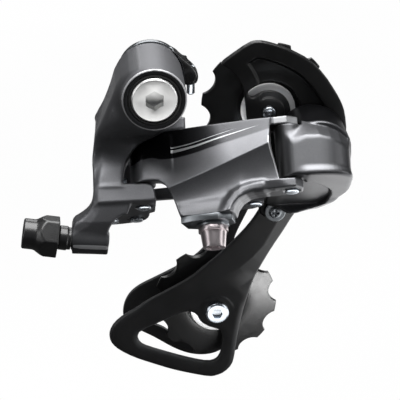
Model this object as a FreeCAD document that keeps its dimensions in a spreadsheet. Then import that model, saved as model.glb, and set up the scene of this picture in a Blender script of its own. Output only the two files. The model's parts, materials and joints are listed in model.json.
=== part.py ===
import FreeCAD, Part
import math
import os
import Sketcher

# Rear derailleur of a cycle: mounting bolt and upper knuckle, slanted parallelogram linkage
# on four pins, lower knuckle, and a cage with two jockey wheels.
#
# Millimetres and degrees.  +X is towards the front of the cycle, +Y inboard towards the
# wheel, +Z up.  The origin is on the mounting bolt's axis at the frame hanger, whose face
# is the plane Y = 0.
#
# In names, "b" means the upper knuckle's end of the linkage and "p" the lower knuckle's.
# Cells ending in _out and _in are distances outboard of Y = 0, to a piece's outboard and
# inboard end; cells ending in _rad are radii.

Vector = FreeCAD.Vector
Rotation = FreeCAD.Rotation
Placement = FreeCAD.Placement
Constraint = Sketcher.Constraint
Y_DIR = Vector(0, 1, 0)
Z_DIR = Vector(0, 0, 1)

doc = FreeCAD.newDocument("RearDerailleur")

# ---------------------------------------------------------------------------
# Spreadsheet of driving dimensions
# ---------------------------------------------------------------------------
sheet = doc.addObject("Spreadsheet::Sheet", "Dimensions")
aliases = []


def cells(**values):
    """Add one row per value; a string is a cell formula."""
    for alias, value in values.items():
        aliases.append(alias)
        row = len(aliases)
        sheet.set("A%d" % row, alias)
        sheet.set("B%d" % row, value if isinstance(value, str) else repr(float(value)))
        sheet.setAlias("B%d" % row, alias)
    doc.recompute()


class Dimensions:
    """Reads a cell of the spreadsheet by its alias."""

    def __getattr__(self, alias):
        return float(sheet.get(alias))


dim = Dimensions()


def number(spec):
    """Value of a profile entry: "0", "alias" or "-alias"."""
    if spec == "0":
        return 0.0
    if spec.startswith("-"):
        return -getattr(dim, spec[1:])
    return getattr(dim, spec)


def expression(spec):
    """Expression that binds a property to "alias" or "-alias"."""
    if spec.startswith("-"):
        return "-Dimensions." + spec[1:]
    return "Dimensions." + spec


def outline_cells(tag, points):
    """Put an outline of (x, z) points into the spreadsheet and read it back."""
    values = {}
    for i, (x, z) in enumerate(points):
        values["%s_x_%02d" % (tag, i)] = x
        values["%s_z_%02d" % (tag, i)] = z
    cells(**values)
    return [(getattr(dim, "%s_x_%02d" % (tag, i)), getattr(dim, "%s_z_%02d" % (tag, i)))
            for i in range(len(points))]


# ---------------------------------------------------------------------------
# Pieces, sketches and bodies
# ---------------------------------------------------------------------------
pieces = []


def piece(name, obj):
    obj.Label = name
    pieces.append((name, obj))
    return obj


def new_body(name):
    return piece(name, doc.addObject("PartDesign::Body", name))


def origin_feature(body, role):
    return [f for f in body.Origin.OriginFeatures if f.Role == role][0]


def new_sketch(body, role, name, lift=None):
    """Sketch on an origin plane, lifted along the plane's normal by a cell."""
    sketch = body.newObject("Sketcher::SketchObject", name)
    sketch.AttachmentSupport = [(origin_feature(body, role), "")]
    sketch.MapMode = "FlatFace"
    if lift is not None:
        sketch.setExpression(".AttachmentOffset.Base.z", expression(lift))
    sketch.Visibility = False
    return sketch


def drive(sketch, constraint, bound_to):
    """Add a dimension and bind it to an expression."""
    index = sketch.addConstraint(constraint)
    sketch.setExpression("Constraints[%d]" % index, bound_to)


def closed_profile(sketch, corners):
    """Closed polyline whose corners are dimensioned from the origin by cells."""
    count = len(corners)
    points = [Vector(number(x), number(y), 0) for x, y in corners]
    first = sketch.GeometryCount
    for i in range(count):
        sketch.addGeometry(Part.LineSegment(points[i], points[(i + 1) % count]), False)
    for i in range(count):
        sketch.addConstraint(
            Constraint("Coincident", first + i, 2, first + (i + 1) % count, 1))
    for i, (x, y) in enumerate(corners):
        for kind, spec, value, zero_axis in (("DistanceX", x, points[i].x, -2),
                                             ("DistanceY", y, points[i].y, -1)):
            if spec == "0":
                sketch.addConstraint(Constraint("PointOnObject", first + i, 1, zero_axis))
            else:
                drive(sketch, Constraint(kind, -1, 1, first + i, 1, value),
                      expression(spec))


def add_circle(sketch, x, z, radius):
    """Circle whose centre and radius are the named cells."""
    centre = Vector(number(x), number(z), 0)
    size = number(radius)
    circle = sketch.addGeometry(Part.Circle(centre, Z_DIR, size), False)
    drive(sketch, Constraint("DistanceX", -1, 1, circle, 3, centre.x), expression(x))
    drive(sketch, Constraint("DistanceY", -1, 1, circle, 3, centre.y), expression(z))
    drive(sketch, Constraint("Radius", circle, size), expression(radius))


def add_hexagon(sketch, across_flats):
    """Regular hexagon round the origin, held by a construction circle."""
    radius = number(across_flats) / math.sqrt(3.0)
    corners = []
    for i in range(6):
        angle = math.radians(60 * i + 30)
        corners.append(Vector(radius * math.cos(angle), radius * math.sin(angle), 0))
    first = sketch.GeometryCount
    for i in range(6):
        sketch.addGeometry(Part.LineSegment(corners[i], corners[(i + 1) % 6]), False)
    for i in range(6):
        sketch.addConstraint(Constraint("Coincident", first + i, 2, first + (i + 1) % 6, 1))
    circle = sketch.addGeometry(Part.Circle(Vector(0, 0, 0), Z_DIR, radius), True)
    sketch.addConstraint(Constraint("Coincident", circle, 3, -1, 1))
    for i in range(6):
        sketch.addConstraint(Constraint("PointOnObject", first + i, 1, circle))
    for i in range(5):
        sketch.addConstraint(Constraint("Equal", first + i, first + i + 1))
    sketch.addConstraint(Constraint("Vertical", first + 5))
    drive(sketch, Constraint("Radius", circle, radius),
          expression(across_flats) + " / 1.7320508")


def spline_loop(sketch, points):
    curve = Part.BSplineCurve()
    curve.interpolate(Points=[Vector(x, z, 0) for x, z in points], PeriodicFlag=True)
    sketch.addGeometry(curve, False)


def turned(body, corners, name="Profile"):
    """Turn a profile of (radius, y) entries about the body's Y axis."""
    sketch = new_sketch(body, "XY_Plane", name)
    closed_profile(sketch, corners)
    turn = body.newObject("PartDesign::Revolution", name + "Turn")
    turn.Profile = sketch
    turn.ReferenceAxis = (sketch, ["V_Axis"])
    turn.Angle = 360.0


def pad_sketch(body, sketch, name, length):
    pad = body.newObject("PartDesign::Pad", name)
    pad.Profile = sketch
    pad.setExpression("Length", expression(length))
    return pad


def removed_volume(pocket):
    return pocket.BaseFeature.Shape.Volume - pocket.Shape.Volume


def settle_pocket(pocket):
    """Recompute, and turn the pocket round if it cuts away from the material."""
    doc.recompute()
    if pocket.Shape.isNull() or removed_volume(pocket) < 1e-3:
        pocket.Reversed = not pocket.Reversed
        doc.recompute()
    if removed_volume(pocket) < 1e-3:
        raise RuntimeError("pocket cuts nothing: " + pocket.Label)


# ---------------------------------------------------------------------------
# Plain solids.  A line is (base point, unit direction); rods and tapers run
# between two distances along it.
# ---------------------------------------------------------------------------
def along_x(y, z):
    return Vector(0, y, z), Vector(1, 0, 0)


def along_y(x, z):
    return Vector(x, 0, z), Y_DIR


def along_z(x, y):
    return Vector(x, y, 0), Z_DIR


def rod(radius, line, start, end):
    base, direction = line
    span = direction * (end - start)
    return Part.makeCylinder(radius, span.Length, base + direction * start, span)


def taper(start_rad, end_rad, line, start, end):
    base, direction = line
    span = direction * (end - start)
    return Part.makeCone(start_rad, end_rad, span.Length, base + direction * start, span)


def poly_face(points):
    return Part.Face(Part.makePolygon(points + [points[0]]))


def slab_xy(points, z0, z1):
    return poly_face([Vector(x, y, z0) for x, y in points]).extrude(Vector(0, 0, z1 - z0))


def slab_xz(points, y0, y1):
    return poly_face([Vector(x, y0, z) for x, z in points]).extrude(Vector(0, y1 - y0, 0))


def hexagon(x, y, across_flats):
    radius = across_flats / math.sqrt(3.0)
    angles = [math.radians(60 * i) for i in range(6)]
    return [(x + radius * math.cos(a), y + radius * math.sin(a)) for a in angles]


def fuse(first, *rest):
    return first.multiFuse(list(rest)).removeSplitter()


def cut_all(shape, tools):
    for tool in tools:
        shape = shape.cut(tool)
    return shape


def wire_sweep(radius, wire_rad, pitch, height):
    """Round wire swept along a helix about Z."""
    helix = Part.Wire(Part.makeHelix(pitch, height, radius))
    section = Part.Wire([Part.Circle(Vector(radius, 0, 0), Y_DIR, wire_rad).toShape()])
    return helix.makePipeShell([section], True, True)


def coil(radius, wire_rad, length, turns, base, axis):
    """Spring swept in one piece."""
    spring = wire_sweep(radius, wire_rad, length / turns, length)
    spring.Placement = Placement(base, Rotation(Z_DIR, axis))
    return spring


def coil_by_halves(radius, wire_rad, length, turns, base, axis):
    """Spring joined from equal half turns."""
    pitch = length / turns
    half = wire_sweep(radius, wire_rad, pitch, pitch / 2.0)
    halves = []
    for i in range(2 * turns):
        turn = half.copy()
        turn.Placement = Placement(Vector(0, 0, i * pitch / 2.0), Rotation(Z_DIR, 180.0 * i))
        halves.append(turn)
    spring = halves[0].multiFuse(halves[1:])
    spring.Placement = Placement(base, Rotation(Z_DIR, axis))
    return spring


def solid(name, shape, placement=None):
    """Make a fixed shape a piece; the placement carries it from a link frame."""
    obj = doc.addObject("Part::Feature", name)
    obj.Shape = shape
    if placement is not None:
        obj.Placement = placement.multiply(shape.Placement)
    piece(name, obj)


# ---------------------------------------------------------------------------
# Linkage frame: x forward, z along the pins (up and inboard), y square to both
# (down and inboard).
# ---------------------------------------------------------------------------
cells(
    slant_deg=42.0,
    # pin centres in the linkage frame
    outer_b_pin_x=-3.7, outer_b_pin_y=15.0,
    outer_p_pin_x=46.8, outer_p_pin_y=-1.0,
    inner_b_pin_x=-14.9, inner_b_pin_y=31.0,
    pin_rad=2.0, pin_head_rad=2.45, pin_hole_rad=2.05, pin_head_bevel=0.3,
    press_fit=0.02,  # clearance round pins and bushings set in the knuckles
    cage_axis_x=58.5, cage_axis_z=-30.5,
)
slant = math.radians(dim.slant_deg)
slant_cos = math.cos(slant)
slant_sin = math.sin(slant)
LINKAGE = Placement(Vector(0, 0, 0), Rotation(Vector(1, 0, 0), -dim.slant_deg))


def to_linkage(x, y, z):
    """Cycle-frame point or direction in linkage-frame coordinates."""
    return Vector(x, y * slant_cos - z * slant_sin, y * slant_sin + z * slant_cos)


def slanted_y(x, z):
    """Line along the cycle's Y axis, in linkage-frame coordinates."""
    return to_linkage(x, 0, z), to_linkage(0, 1, 0)


def cycle_slab(points, y0, y1):
    """Outline of cycle-frame (x, z) extruded along cycle Y, in linkage coordinates."""
    face = poly_face([to_linkage(x, y0, z) for x, z in points])
    return face.extrude(to_linkage(0, y1 - y0, 0))


outer_b = Vector(dim.outer_b_pin_x, dim.outer_b_pin_y, 0)
outer_p = Vector(dim.outer_p_pin_x, dim.outer_p_pin_y, 0)
inner_b = Vector(dim.inner_b_pin_x, dim.inner_b_pin_y, 0)
inner_p = inner_b + outer_p - outer_b  # completes the parallelogram
OUTER_B_LINE, OUTER_P_LINE, INNER_B_LINE, INNER_P_LINE = [
    (pin, Z_DIR) for pin in (outer_b, outer_p, inner_b, inner_p)]
link_len = (outer_p - outer_b).Length
link_angle = math.degrees(math.atan2(outer_p.y - outer_b.y, outer_p.x - outer_b.x))


def link_placement(pivot):
    """Placement of a link drawn from its b pin, x along the pivot line, z along the pins."""
    turn = LINKAGE.Rotation.multiply(Rotation(Z_DIR, link_angle))
    return Placement(LINKAGE.multVec(pivot), turn)


HANGER_LINE = along_y(0, 0)
CAGE_LINE = along_y(dim.cage_axis_x, dim.cage_axis_z)
# the same two lines in linkage coordinates
BARREL_LINE = slanted_y(0, 0)
DRUM_LINE = slanted_y(dim.cage_axis_x, dim.cage_axis_z)

# ===========================================================================
# Pieces fixed to the hanger
# ===========================================================================
cells(
    # mounting bolt; the thread is left plain and runs inboard of Y = 0
    bolt_head_rad=8.0, bolt_head_out=30.0, bolt_head_in=27.2,
    head_bevel_rad=7.3, head_bevel_out=29.35,
    bolt_shank_rad=6.0, bolt_neck_rad=5.2, bolt_neck_len=2.45,
    bolt_thread_rad=5.0, bolt_thread_len=9.5, thread_tip_rad=4.3, thread_tip_y=9.0,
    hex_across=6.0, hex_deep=3.6,
    groove_rad=5.5, groove_out=3.45, groove_in=2.6,
    # retaining ring
    ring_rad=7.15, ring_end_gap=0.05, ring_opening=4.6,
    # stop plate and its lug
    stop_thick=2.2, stop_rad=10.8, lug_rear=11.4, lug_fore=16.4,
    lug_low=-3.7, lug_high=6.0, lug_depth=5.4, lug_round=1.6,
    stop_arm_low=-3.0, stop_arm_width=8.4, stop_arm_lap=1.5,
    # body-angle screw
    angle_screw_rad=1.45, angle_screw_x=14.1, angle_screw_y=-2.9,
    angle_screw_low=-8.4, angle_screw_top=2.0, angle_screw_bevel=0.5,
    angle_slot_width=0.7, angle_slot_deep=0.9,
)
ANGLE_SCREW_LINE = along_z(dim.angle_screw_x, dim.angle_screw_y)


def mounting_bolt():
    """Socket head, shank that carries the knuckle, ring groove, neck and thread."""
    body = new_body("mounting_bolt")
    turned(body, [
        ("0", "-bolt_head_out"), ("head_bevel_rad", "-bolt_head_out"),
        ("bolt_head_rad", "-head_bevel_out"), ("bolt_head_rad", "-bolt_head_in"),
        ("bolt_shank_rad", "-bolt_head_in"), ("bolt_shank_rad", "-groove_out"),
        ("groove_rad", "-groove_out"), ("groove_rad", "-groove_in"),
        ("bolt_shank_rad", "-groove_in"), ("bolt_shank_rad", "-bolt_neck_len"),
        ("bolt_neck_rad", "-bolt_neck_len"), ("bolt_neck_rad", "0"),
        ("bolt_thread_rad", "0"), ("bolt_thread_rad", "thread_tip_y"),
        ("thread_tip_rad", "bolt_thread_len"), ("0", "bolt_thread_len")])
    sketch = new_sketch(body, "XZ_Plane", "HexSocket", "bolt_head_out")
    add_hexagon(sketch, "hex_across")
    pocket = body.newObject("PartDesign::Pocket", "Socket")
    pocket.Profile = sketch
    pocket.setExpression("Length", expression("hex_deep"))
    settle_pocket(pocket)


def retaining_ring():
    """C-shaped ring in the bolt's groove, open upwards."""
    ring = rod(dim.ring_rad, HANGER_LINE, -dim.groove_out + dim.ring_end_gap,
               -dim.groove_in - dim.ring_end_gap)
    ring = ring.cut(rod(dim.groove_rad + 0.02, HANGER_LINE,
                        -dim.groove_out - 0.5, -dim.groove_out + 1.5))
    return ring.cut(Part.makeBox(dim.ring_opening, 3, 9,
                                 Vector(-dim.ring_opening / 2, -dim.groove_out - 1, 0)))


def stop_plate():
    """Washer against the hanger with a lug for the screw that sets the body angle."""
    thick = dim.stop_thick
    washer = rod(dim.stop_rad, HANGER_LINE, -thick, 0)
    lug = Part.makeBox(dim.lug_fore - dim.lug_rear, dim.lug_depth, dim.lug_high - dim.lug_low,
                       Vector(dim.lug_rear, -dim.lug_depth, dim.lug_low))
    edges_along_y = [e for e in lug.Edges if abs(e.tangentAt(e.FirstParameter).y) > 0.9]
    lug = lug.makeFillet(dim.lug_round, edges_along_y)
    arm = Part.makeBox(dim.lug_rear + dim.stop_arm_lap, thick, dim.stop_arm_width,
                       Vector(0, -thick, dim.stop_arm_low))
    tab = slab_xz([(-9.5, -4.5), (-5.0, -9.4), (-9.0, -13.6), (-13.2, -9.8)], -thick, 0.0)
    return cut_all(fuse(washer, lug, arm, tab), [
        rod(dim.bolt_neck_rad + 0.03, HANGER_LINE, -6, 2),
        rod(dim.angle_screw_rad + 0.05, ANGLE_SCREW_LINE, -12, 12)])


def angle_screw():
    """Grub screw with a bevelled lower tip and a slot across its upper end."""
    radius = dim.angle_screw_rad
    low = dim.angle_screw_low
    top = dim.angle_screw_top
    bevel = dim.angle_screw_bevel
    width = dim.angle_slot_width
    deep = dim.angle_slot_deep
    screw = fuse(rod(radius, ANGLE_SCREW_LINE, low + bevel, top),
                 taper(radius - bevel, radius, ANGLE_SCREW_LINE, low, low + bevel))
    corner = Vector(dim.angle_screw_x - 3, dim.angle_screw_y - width / 2, top - deep)
    return screw.cut(Part.makeBox(6, width, deep, corner))


mounting_bolt()
solid("retaining_ring", retaining_ring())
solid("b_stop_plate", stop_plate())
solid("b_angle_screw", angle_screw())

# ===========================================================================
# Upper knuckle and what it carries
# ===========================================================================
cells(
    # bushing and seal ring
    bush_bore_rad=6.04, bush_rad=7.2, bush_out=27.0, bush_in=3.8,
    seal_bore_rad=8.15, seal_rad=9.0, seal_crown_rad=8.55, seal_out=29.75, seal_in=28.0,
    # barrel and the neck below it
    barrel_rad=10.9, barrel_out=29.5, barrel_in=2.9,
    barrel_chamber_rad=9.7, barrel_chamber_out=24.6, neck_out=13.0,
    # ears (z) and web (y), in the linkage frame
    low_ear_bottom=-46.0, low_ear_top=-39.2, up_ear_bottom=-21.0, up_ear_top=-15.6,
    web_start=8.5, web_end=37.0, tail_room_rad=5.6,
    # limit screws, in the linkage frame
    limit_high_y=13.2, limit_low_y=22.0, limit_z=-37.1,
    limit_rad=1.32, limit_hole_rad=1.38, limit_head_rad=2.2, limit_sink_rad=2.28,
    # return spring and its anchor pin, in the linkage frame
    anchor_x=-6.1, anchor_y=29.4, anchor_rad=1.58, anchor_hole_rad=1.6, anchor_head_rad=2.2,
    return_spring_rad=3.5, return_spring_wire=0.6, return_spring_len=8.0,
    # spring round the mounting bolt's bushing
    b_spring_rad=8.45, b_spring_wire=0.62, b_spring_len=17.0,
    # cable adjuster axis, from its rear end forwards, in the cycle frame
    adj_rear_x=-46.5, adj_rear_z=-49.9, adj_fore_x=-17.2, adj_fore_z=-55.0, adj_y=-25.0,
    # adjuster parts; starts and ends are distances along the axis
    adj_boss_bore=2.5, boss_start=17.0, boss_end=29.7, boss_big_rad=4.85,
    boss_small_rad=3.4, adj_arm_out=28.4, adj_arm_in=20.0,
    collar_start=12.6, collar_end=16.9, collar_rad=4.3,
    knob_rad=5.15, knob_nose_rad=4.3, knob_nose_len=1.4,
    wing_rad=7.3, wing_start=6.0, wing_end=12.4, flute_rad=3.1, flute_offset=1.6,
    adj_tube_rad=2.45, adj_bore_rad=1.3, housing_rad=2.1, housing_deep=9.0,
)
adj_rear = Vector(dim.adj_rear_x, dim.adj_y, dim.adj_rear_z)
adj_fore = Vector(dim.adj_fore_x, dim.adj_y, dim.adj_fore_z)
adj_dir = (adj_fore - adj_rear).normalize()
ADJUSTER_LINE = (to_linkage(*adj_rear), to_linkage(*adj_dir))
ANCHOR_LINE = along_z(dim.anchor_x, dim.anchor_y)
limit_screws = [("limit_screw_high", dim.limit_high_y), ("limit_screw_low", dim.limit_low_y)]

# (x, z) in the cycle frame
NECK = [
    (-10.4, 3.2), (-11.2, 0.5), (-16.3, -7.0), (-21.1, -17.3), (-21.3, -24.0), (-21.3, -29.5),
    (-8.0, -29.5), (-8.0, -24.0), (-4.5, -21.5), (0.5, -19.0), (5.5, -14.5), (10.2, -3.8),
    (0, 3)]
ADJUSTER_ARM = [
    (-21.0, -36.5), (-23.0, -42.5), (-28.6, -47.6), (-29.2, -52.0), (-18.2, -53.8),
    (-16.4, -51.0), (-14.6, -47.8), (-11.5, -45.5), (-8.6, -44.6), (-8.4, -38.0),
    (-12.0, -36.0)]
# (x, z) in the linkage frame
WEB = [
    (-21.1, -15.6), (-21.3, -40.9), (-20.9, -44.6), (-19.2, -46.0), (-10.9, -46.0),
    (-10.9, -38.4), (-10.3, -32.2), (-10.3, -26.0), (-10.3, -15.6)]
# (x, y) in the linkage frame
LOW_EAR = [
    (-20.8, 8.5), (-5.5, 8.5), (-1.2, 10.6), (0.5, 13.2), (0.5, 17.0), (-1.6, 22.0),
    (-1.5, 29.0), (-3.0, 33.0), (-9.5, 36.0), (-14.9, 37.0), (-20.8, 37.0)]
UP_EAR = [
    (-20.8, 8.5), (-4.5, 8.5), (0.2, 9.5), (1.2, 14.0), (0.0, 18.5), (-4.0, 24.0),
    (-8.5, 34.0), (-12.0, 37.0), (-20.8, 37.0)]
INNER_TAIL_ROOM = [(-19.6, 24.6), (-10.0, 21.5), (6.0, 21.5), (6.0, 45.0), (-19.6, 45.0)]


def upper_knuckle():
    barrel = rod(dim.barrel_rad, BARREL_LINE, -dim.barrel_out, -dim.barrel_in)
    neck = cycle_slab(NECK, -dim.neck_out, -dim.barrel_in)
    web = slab_xz(WEB, dim.web_start, dim.web_end)
    low_ear = slab_xy(LOW_EAR, dim.low_ear_bottom, dim.low_ear_top)
    up_ear = slab_xy(UP_EAR, dim.up_ear_bottom, dim.up_ear_top)
    boss = taper(dim.boss_big_rad, dim.boss_small_rad, ADJUSTER_LINE,
                 dim.boss_start, dim.boss_end)
    arm = cycle_slab(ADJUSTER_ARM, -dim.adj_arm_out, -dim.adj_arm_in)
    # the adjuster's arm stops level with the lower ear's top
    arm = arm.common(slab_xy([(-40, -60), (40, -60), (40, 60), (-40, 60)],
                             -90, dim.low_ear_top))
    fit = dim.press_fit
    tools = [
        # bushing bore, spring chamber, seal seat and bolt head recess
        rod(dim.bush_rad + fit, BARREL_LINE, -dim.bush_out, -1),
        rod(dim.barrel_chamber_rad, BARREL_LINE, -dim.barrel_chamber_out, -1),
        rod(dim.seal_rad + fit, BARREL_LINE, -40, -dim.seal_in),
        rod(dim.bolt_head_rad + 0.15, BARREL_LINE, -40, -dim.bush_out),
        rod(dim.pin_rad + fit, OUTER_B_LINE, -50, -17.5),
        rod(dim.pin_rad + fit, INNER_B_LINE, -50, -17.5),
        rod(dim.adj_boss_bore, ADJUSTER_LINE, dim.boss_start - 2, dim.boss_end + 2),
        # room for the outer link's tail, then for the inner link's tail and swing
        rod(dim.tail_room_rad, OUTER_B_LINE, dim.up_ear_bottom, dim.low_ear_top),
        slab_xy(INNER_TAIL_ROOM, dim.low_ear_top, dim.up_ear_bottom),
    ]
    # limit screw holes run along x through the web, sunk from the rear
    for _, y in limit_screws:
        line = along_x(y, dim.limit_z)
        tools.append(rod(dim.limit_hole_rad, line, -30, -6))
        tools.append(rod(dim.limit_sink_rad, line, -30, -19.45))
    tools.append(rod(dim.anchor_hole_rad, ANCHOR_LINE, -50, -38))
    return cut_all(fuse(barrel, neck, web, low_ear, up_ear, boss, arm), tools)


def limit_screw(y):
    """Slotted round-head screw in the knuckle's rear flank."""
    line = along_x(y, dim.limit_z)
    screw = fuse(rod(dim.limit_rad, line, -19.6, -9.6),
                 rod(dim.limit_head_rad, line, -20.9, -19.5))
    return screw.cut(Part.makeBox(0.8, 0.6, 6, Vector(-21.1, y - 0.3, dim.limit_z - 3)))


def rivet(line, low, high, head):
    """Link pin with a low bevelled head below its lower end."""
    radius = dim.pin_head_rad
    shoulder = low - head + dim.pin_head_bevel
    return fuse(rod(dim.pin_rad, line, low, high),
                rod(radius, line, shoulder, low),
                taper(radius - 0.4, radius, line, low - head, shoulder))


def adjuster_collar():
    """Collar that slides on the knob's tube."""
    collar = rod(dim.collar_rad, ADJUSTER_LINE, dim.collar_start, dim.collar_end)
    return collar.cut(rod(dim.adj_tube_rad + 0.05, ADJUSTER_LINE,
                          dim.collar_start - 1, dim.collar_end + 1))


def adjuster_knob():
    """Fluted knob with a tube, bored for the housing and the cable."""
    knob = fuse(taper(dim.knob_nose_rad, dim.knob_rad, ADJUSTER_LINE, 0, dim.knob_nose_len),
                rod(dim.knob_rad, ADJUSTER_LINE, dim.knob_nose_len, dim.wing_end))
    wings = rod(dim.wing_rad, ADJUSTER_LINE, dim.wing_start, dim.wing_end)
    base, direction = ADJUSTER_LINE
    across = adj_dir.cross(Y_DIR)
    for i in range(6):
        angle = math.radians(60 * i + 12)
        offset = Y_DIR * math.cos(angle) + across * math.sin(angle)
        offset = to_linkage(*(offset * (dim.wing_rad + dim.flute_offset)))
        wings = wings.cut(rod(dim.flute_rad, (base + offset, direction),
                              dim.wing_start - 1, dim.wing_end + 1))
    tube = rod(dim.adj_tube_rad, ADJUSTER_LINE, dim.wing_end - 1, dim.boss_end - 0.6)
    return cut_all(fuse(knob, wings, tube), [
        rod(dim.housing_rad, ADJUSTER_LINE, -1, dim.housing_deep),
        rod(dim.adj_bore_rad, ADJUSTER_LINE, -1, dim.boss_end + 1)])


solid("b_knuckle", upper_knuckle(), LINKAGE)

# Bushing between the bolt's shank and the barrel
turned(new_body("b_bushing"), [
    ("bush_bore_rad", "-bush_out"), ("bush_rad", "-bush_out"),
    ("bush_rad", "-bush_in"), ("bush_bore_rad", "-bush_in")])

# Crowned seal ring round the bolt head
turned(new_body("bolt_seal_ring"), [
    ("seal_bore_rad", "-seal_in"), ("seal_bore_rad", "-barrel_out"),
    ("seal_crown_rad", "-seal_out"), ("seal_rad", "-barrel_out"), ("seal_rad", "-seal_in")])

solid("b_spring", coil(dim.b_spring_rad, dim.b_spring_wire, dim.b_spring_len, 9,
                       Vector(0, -23.3, 0), Y_DIR))
solid("return_spring", coil(dim.return_spring_rad, dim.return_spring_wire,
                            dim.return_spring_len, 5,
                            Vector(inner_b.x, inner_b.y, -34.3), Z_DIR), LINKAGE)
for name, y in limit_screws:
    solid(name, limit_screw(y), LINKAGE)

pin_seat = dim.low_ear_bottom - 0.02  # underside of the heads below the lower ear
solid("spring_anchor_pin", fuse(rod(dim.anchor_rad, ANCHOR_LINE, pin_seat, -38.6),
                                rod(dim.anchor_head_rad, ANCHOR_LINE, -46.9, pin_seat)),
      LINKAGE)
solid("outer_link_b_pin", rivet(OUTER_B_LINE, pin_seat, -17.7, 0.8), LINKAGE)
solid("inner_link_b_pin", rivet(INNER_B_LINE, pin_seat, -17.7, 0.8), LINKAGE)
solid("adjuster_collar", adjuster_collar(), LINKAGE)
solid("adjuster_knob", adjuster_knob(), LINKAGE)

# ===========================================================================
# Outer link and cable clamp, in the outer link's frame
# ===========================================================================
cells(
    cast_eye_rad=4.2, outer_wall_y0=-6.5, outer_wall_y1=-3.4,
    clamp_x=24.4, clamp_y=0.2, clamp_seat_bottom=-53.1, clamp_seat_top=-49.6,
    clamp_plate_bottom=-55.2, clamp_plate_top=-53.12, clamp_hole_rad=2.55,
    cable_groove_rad=0.7, cable_groove_y=-3.6, cable_groove_z=-53.0,
    clamp_washer_rad=5.6, clamp_washer_bottom=-56.2, clamp_washer_top=-55.22,
    clamp_bolt_rad=2.48, clamp_flange_rad=5.2, clamp_hex_across=5.0,
)
OUTER_LINK = link_placement(outer_b)
LINK_B_LINE = along_z(0, 0)
LINK_P_LINE = along_z(link_len, 0)
CLAMP_LINE = along_z(dim.clamp_x, dim.clamp_y)

# (x, z)
OUTER_WALL = [
    (-2.0, -38.3), (-1.6, -32.0), (0.1, -27.4), (2.5, -23.7), (5.1, -21.8), (7.8, -20.4),
    (23.4, -20.4), (47.9, -20.4), (47.6, -26.9), (47.4, -30.5), (48.9, -38.0), (49.8, -46.6),
    (39.9, -46.2), (36.8, -46.9), (33.8, -48.9), (32.1, -51.4), (31.6, -53.1), (15.1, -53.1),
    (13.8, -51.8), (12.8, -48.8), (11.9, -45.5), (10.7, -42.4), (7.9, -38.8), (4.4, -38.3)]
# (x, y)
CLAMP_PLATE = [
    (14.6, -6.0), (19.0, -7.4), (28.0, -7.2), (32.2, -4.0), (32.0, 2.0), (28.0, 5.0),
    (20.0, 5.2), (15.0, 2.0)]


def outer_link():
    face = dim.outer_wall_y0
    back = dim.outer_wall_y1
    up_arm_z = (-23.3, -20.4)
    low_arm_z = (-46.6, -43.1)
    wall = slab_xz(OUTER_WALL, face, back)
    b_eye = rod(dim.cast_eye_rad, LINK_B_LINE, -38.6, -21.4)
    b_join = slab_xy([(-2.0, face), (12, face), (12, -3.0), (4.2, -1), (3.6, 2.2),
                      (0, 4.2), (-4.0, -1.0)], -38.3, -23.7)
    up_eye = rod(dim.cast_eye_rad, LINK_P_LINE, *up_arm_z)
    low_eye = rod(dim.cast_eye_rad, LINK_P_LINE, *low_arm_z)
    up_arm = slab_xy([(9, face), (47.9, face), (link_len + 0.5, -4.2), (link_len + 0.5, 4.2),
                      (48.5, 3.4), (40, -1.0), (22, back), (9, back)], *up_arm_z)
    low_arm = slab_xy([(36.5, face), (49.8, face), (link_len + 2.0, -3.7),
                       (link_len + 0.5, 4.2), (48.5, 3.4), (43, -1.5), (36.5, back)],
                      *low_arm_z)
    seat = slab_xy([(14.2, face), (32.0, face), (31.0, 3.6), (24, 6.0), (16.0, 3.6)],
                   dim.clamp_seat_bottom, dim.clamp_seat_top)
    return cut_all(fuse(wall, b_eye, b_join, up_eye, low_eye, up_arm, low_arm, seat), [
        rod(dim.pin_hole_rad, LINK_B_LINE, -60, 0),
        rod(dim.pin_hole_rad, LINK_P_LINE, -60, 0),
        rod(2.5, CLAMP_LINE, -60, -44)])


def clamp_plate():
    """Plate with a hole for the bolt and a groove for the cable in its upper face."""
    plate = slab_xy(CLAMP_PLATE, dim.clamp_plate_bottom, dim.clamp_plate_top)
    groove_line = along_x(dim.cable_groove_y, dim.cable_groove_z)
    return cut_all(plate, [rod(dim.clamp_hole_rad, CLAMP_LINE, -60, -50),
                           rod(dim.cable_groove_rad, groove_line, 8, 40)])


def clamp_washer():
    washer = rod(dim.clamp_washer_rad, CLAMP_LINE,
                 dim.clamp_washer_bottom, dim.clamp_washer_top)
    return washer.cut(rod(dim.clamp_hole_rad, CLAMP_LINE, -60, -50))


def clamp_bolt():
    """Flanged bolt with a tapered socket head, pointing up into the link."""
    bolt = fuse(rod(dim.clamp_bolt_rad, CLAMP_LINE, -57.0, -45.0),
                rod(dim.clamp_flange_rad, CLAMP_LINE, -58.0, -56.22),
                taper(3.9, 4.6, CLAMP_LINE, -63.6, -57.9))
    socket = hexagon(dim.clamp_x, dim.clamp_y, dim.clamp_hex_across)
    return bolt.cut(slab_xy(socket, -64.0, -60.0))


solid("outer_link", outer_link(), OUTER_LINK)
solid("cable_clamp_plate", clamp_plate(), OUTER_LINK)
solid("cable_clamp_washer", clamp_washer(), OUTER_LINK)
solid("cable_fixing_bolt", clamp_bolt(), OUTER_LINK)

# ===========================================================================
# Inner link, in its own frame
# ===========================================================================
cells(inner_wall_y0=4.35, inner_wall_y1=6.3)
INNER_LINK = link_placement(inner_b)


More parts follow.
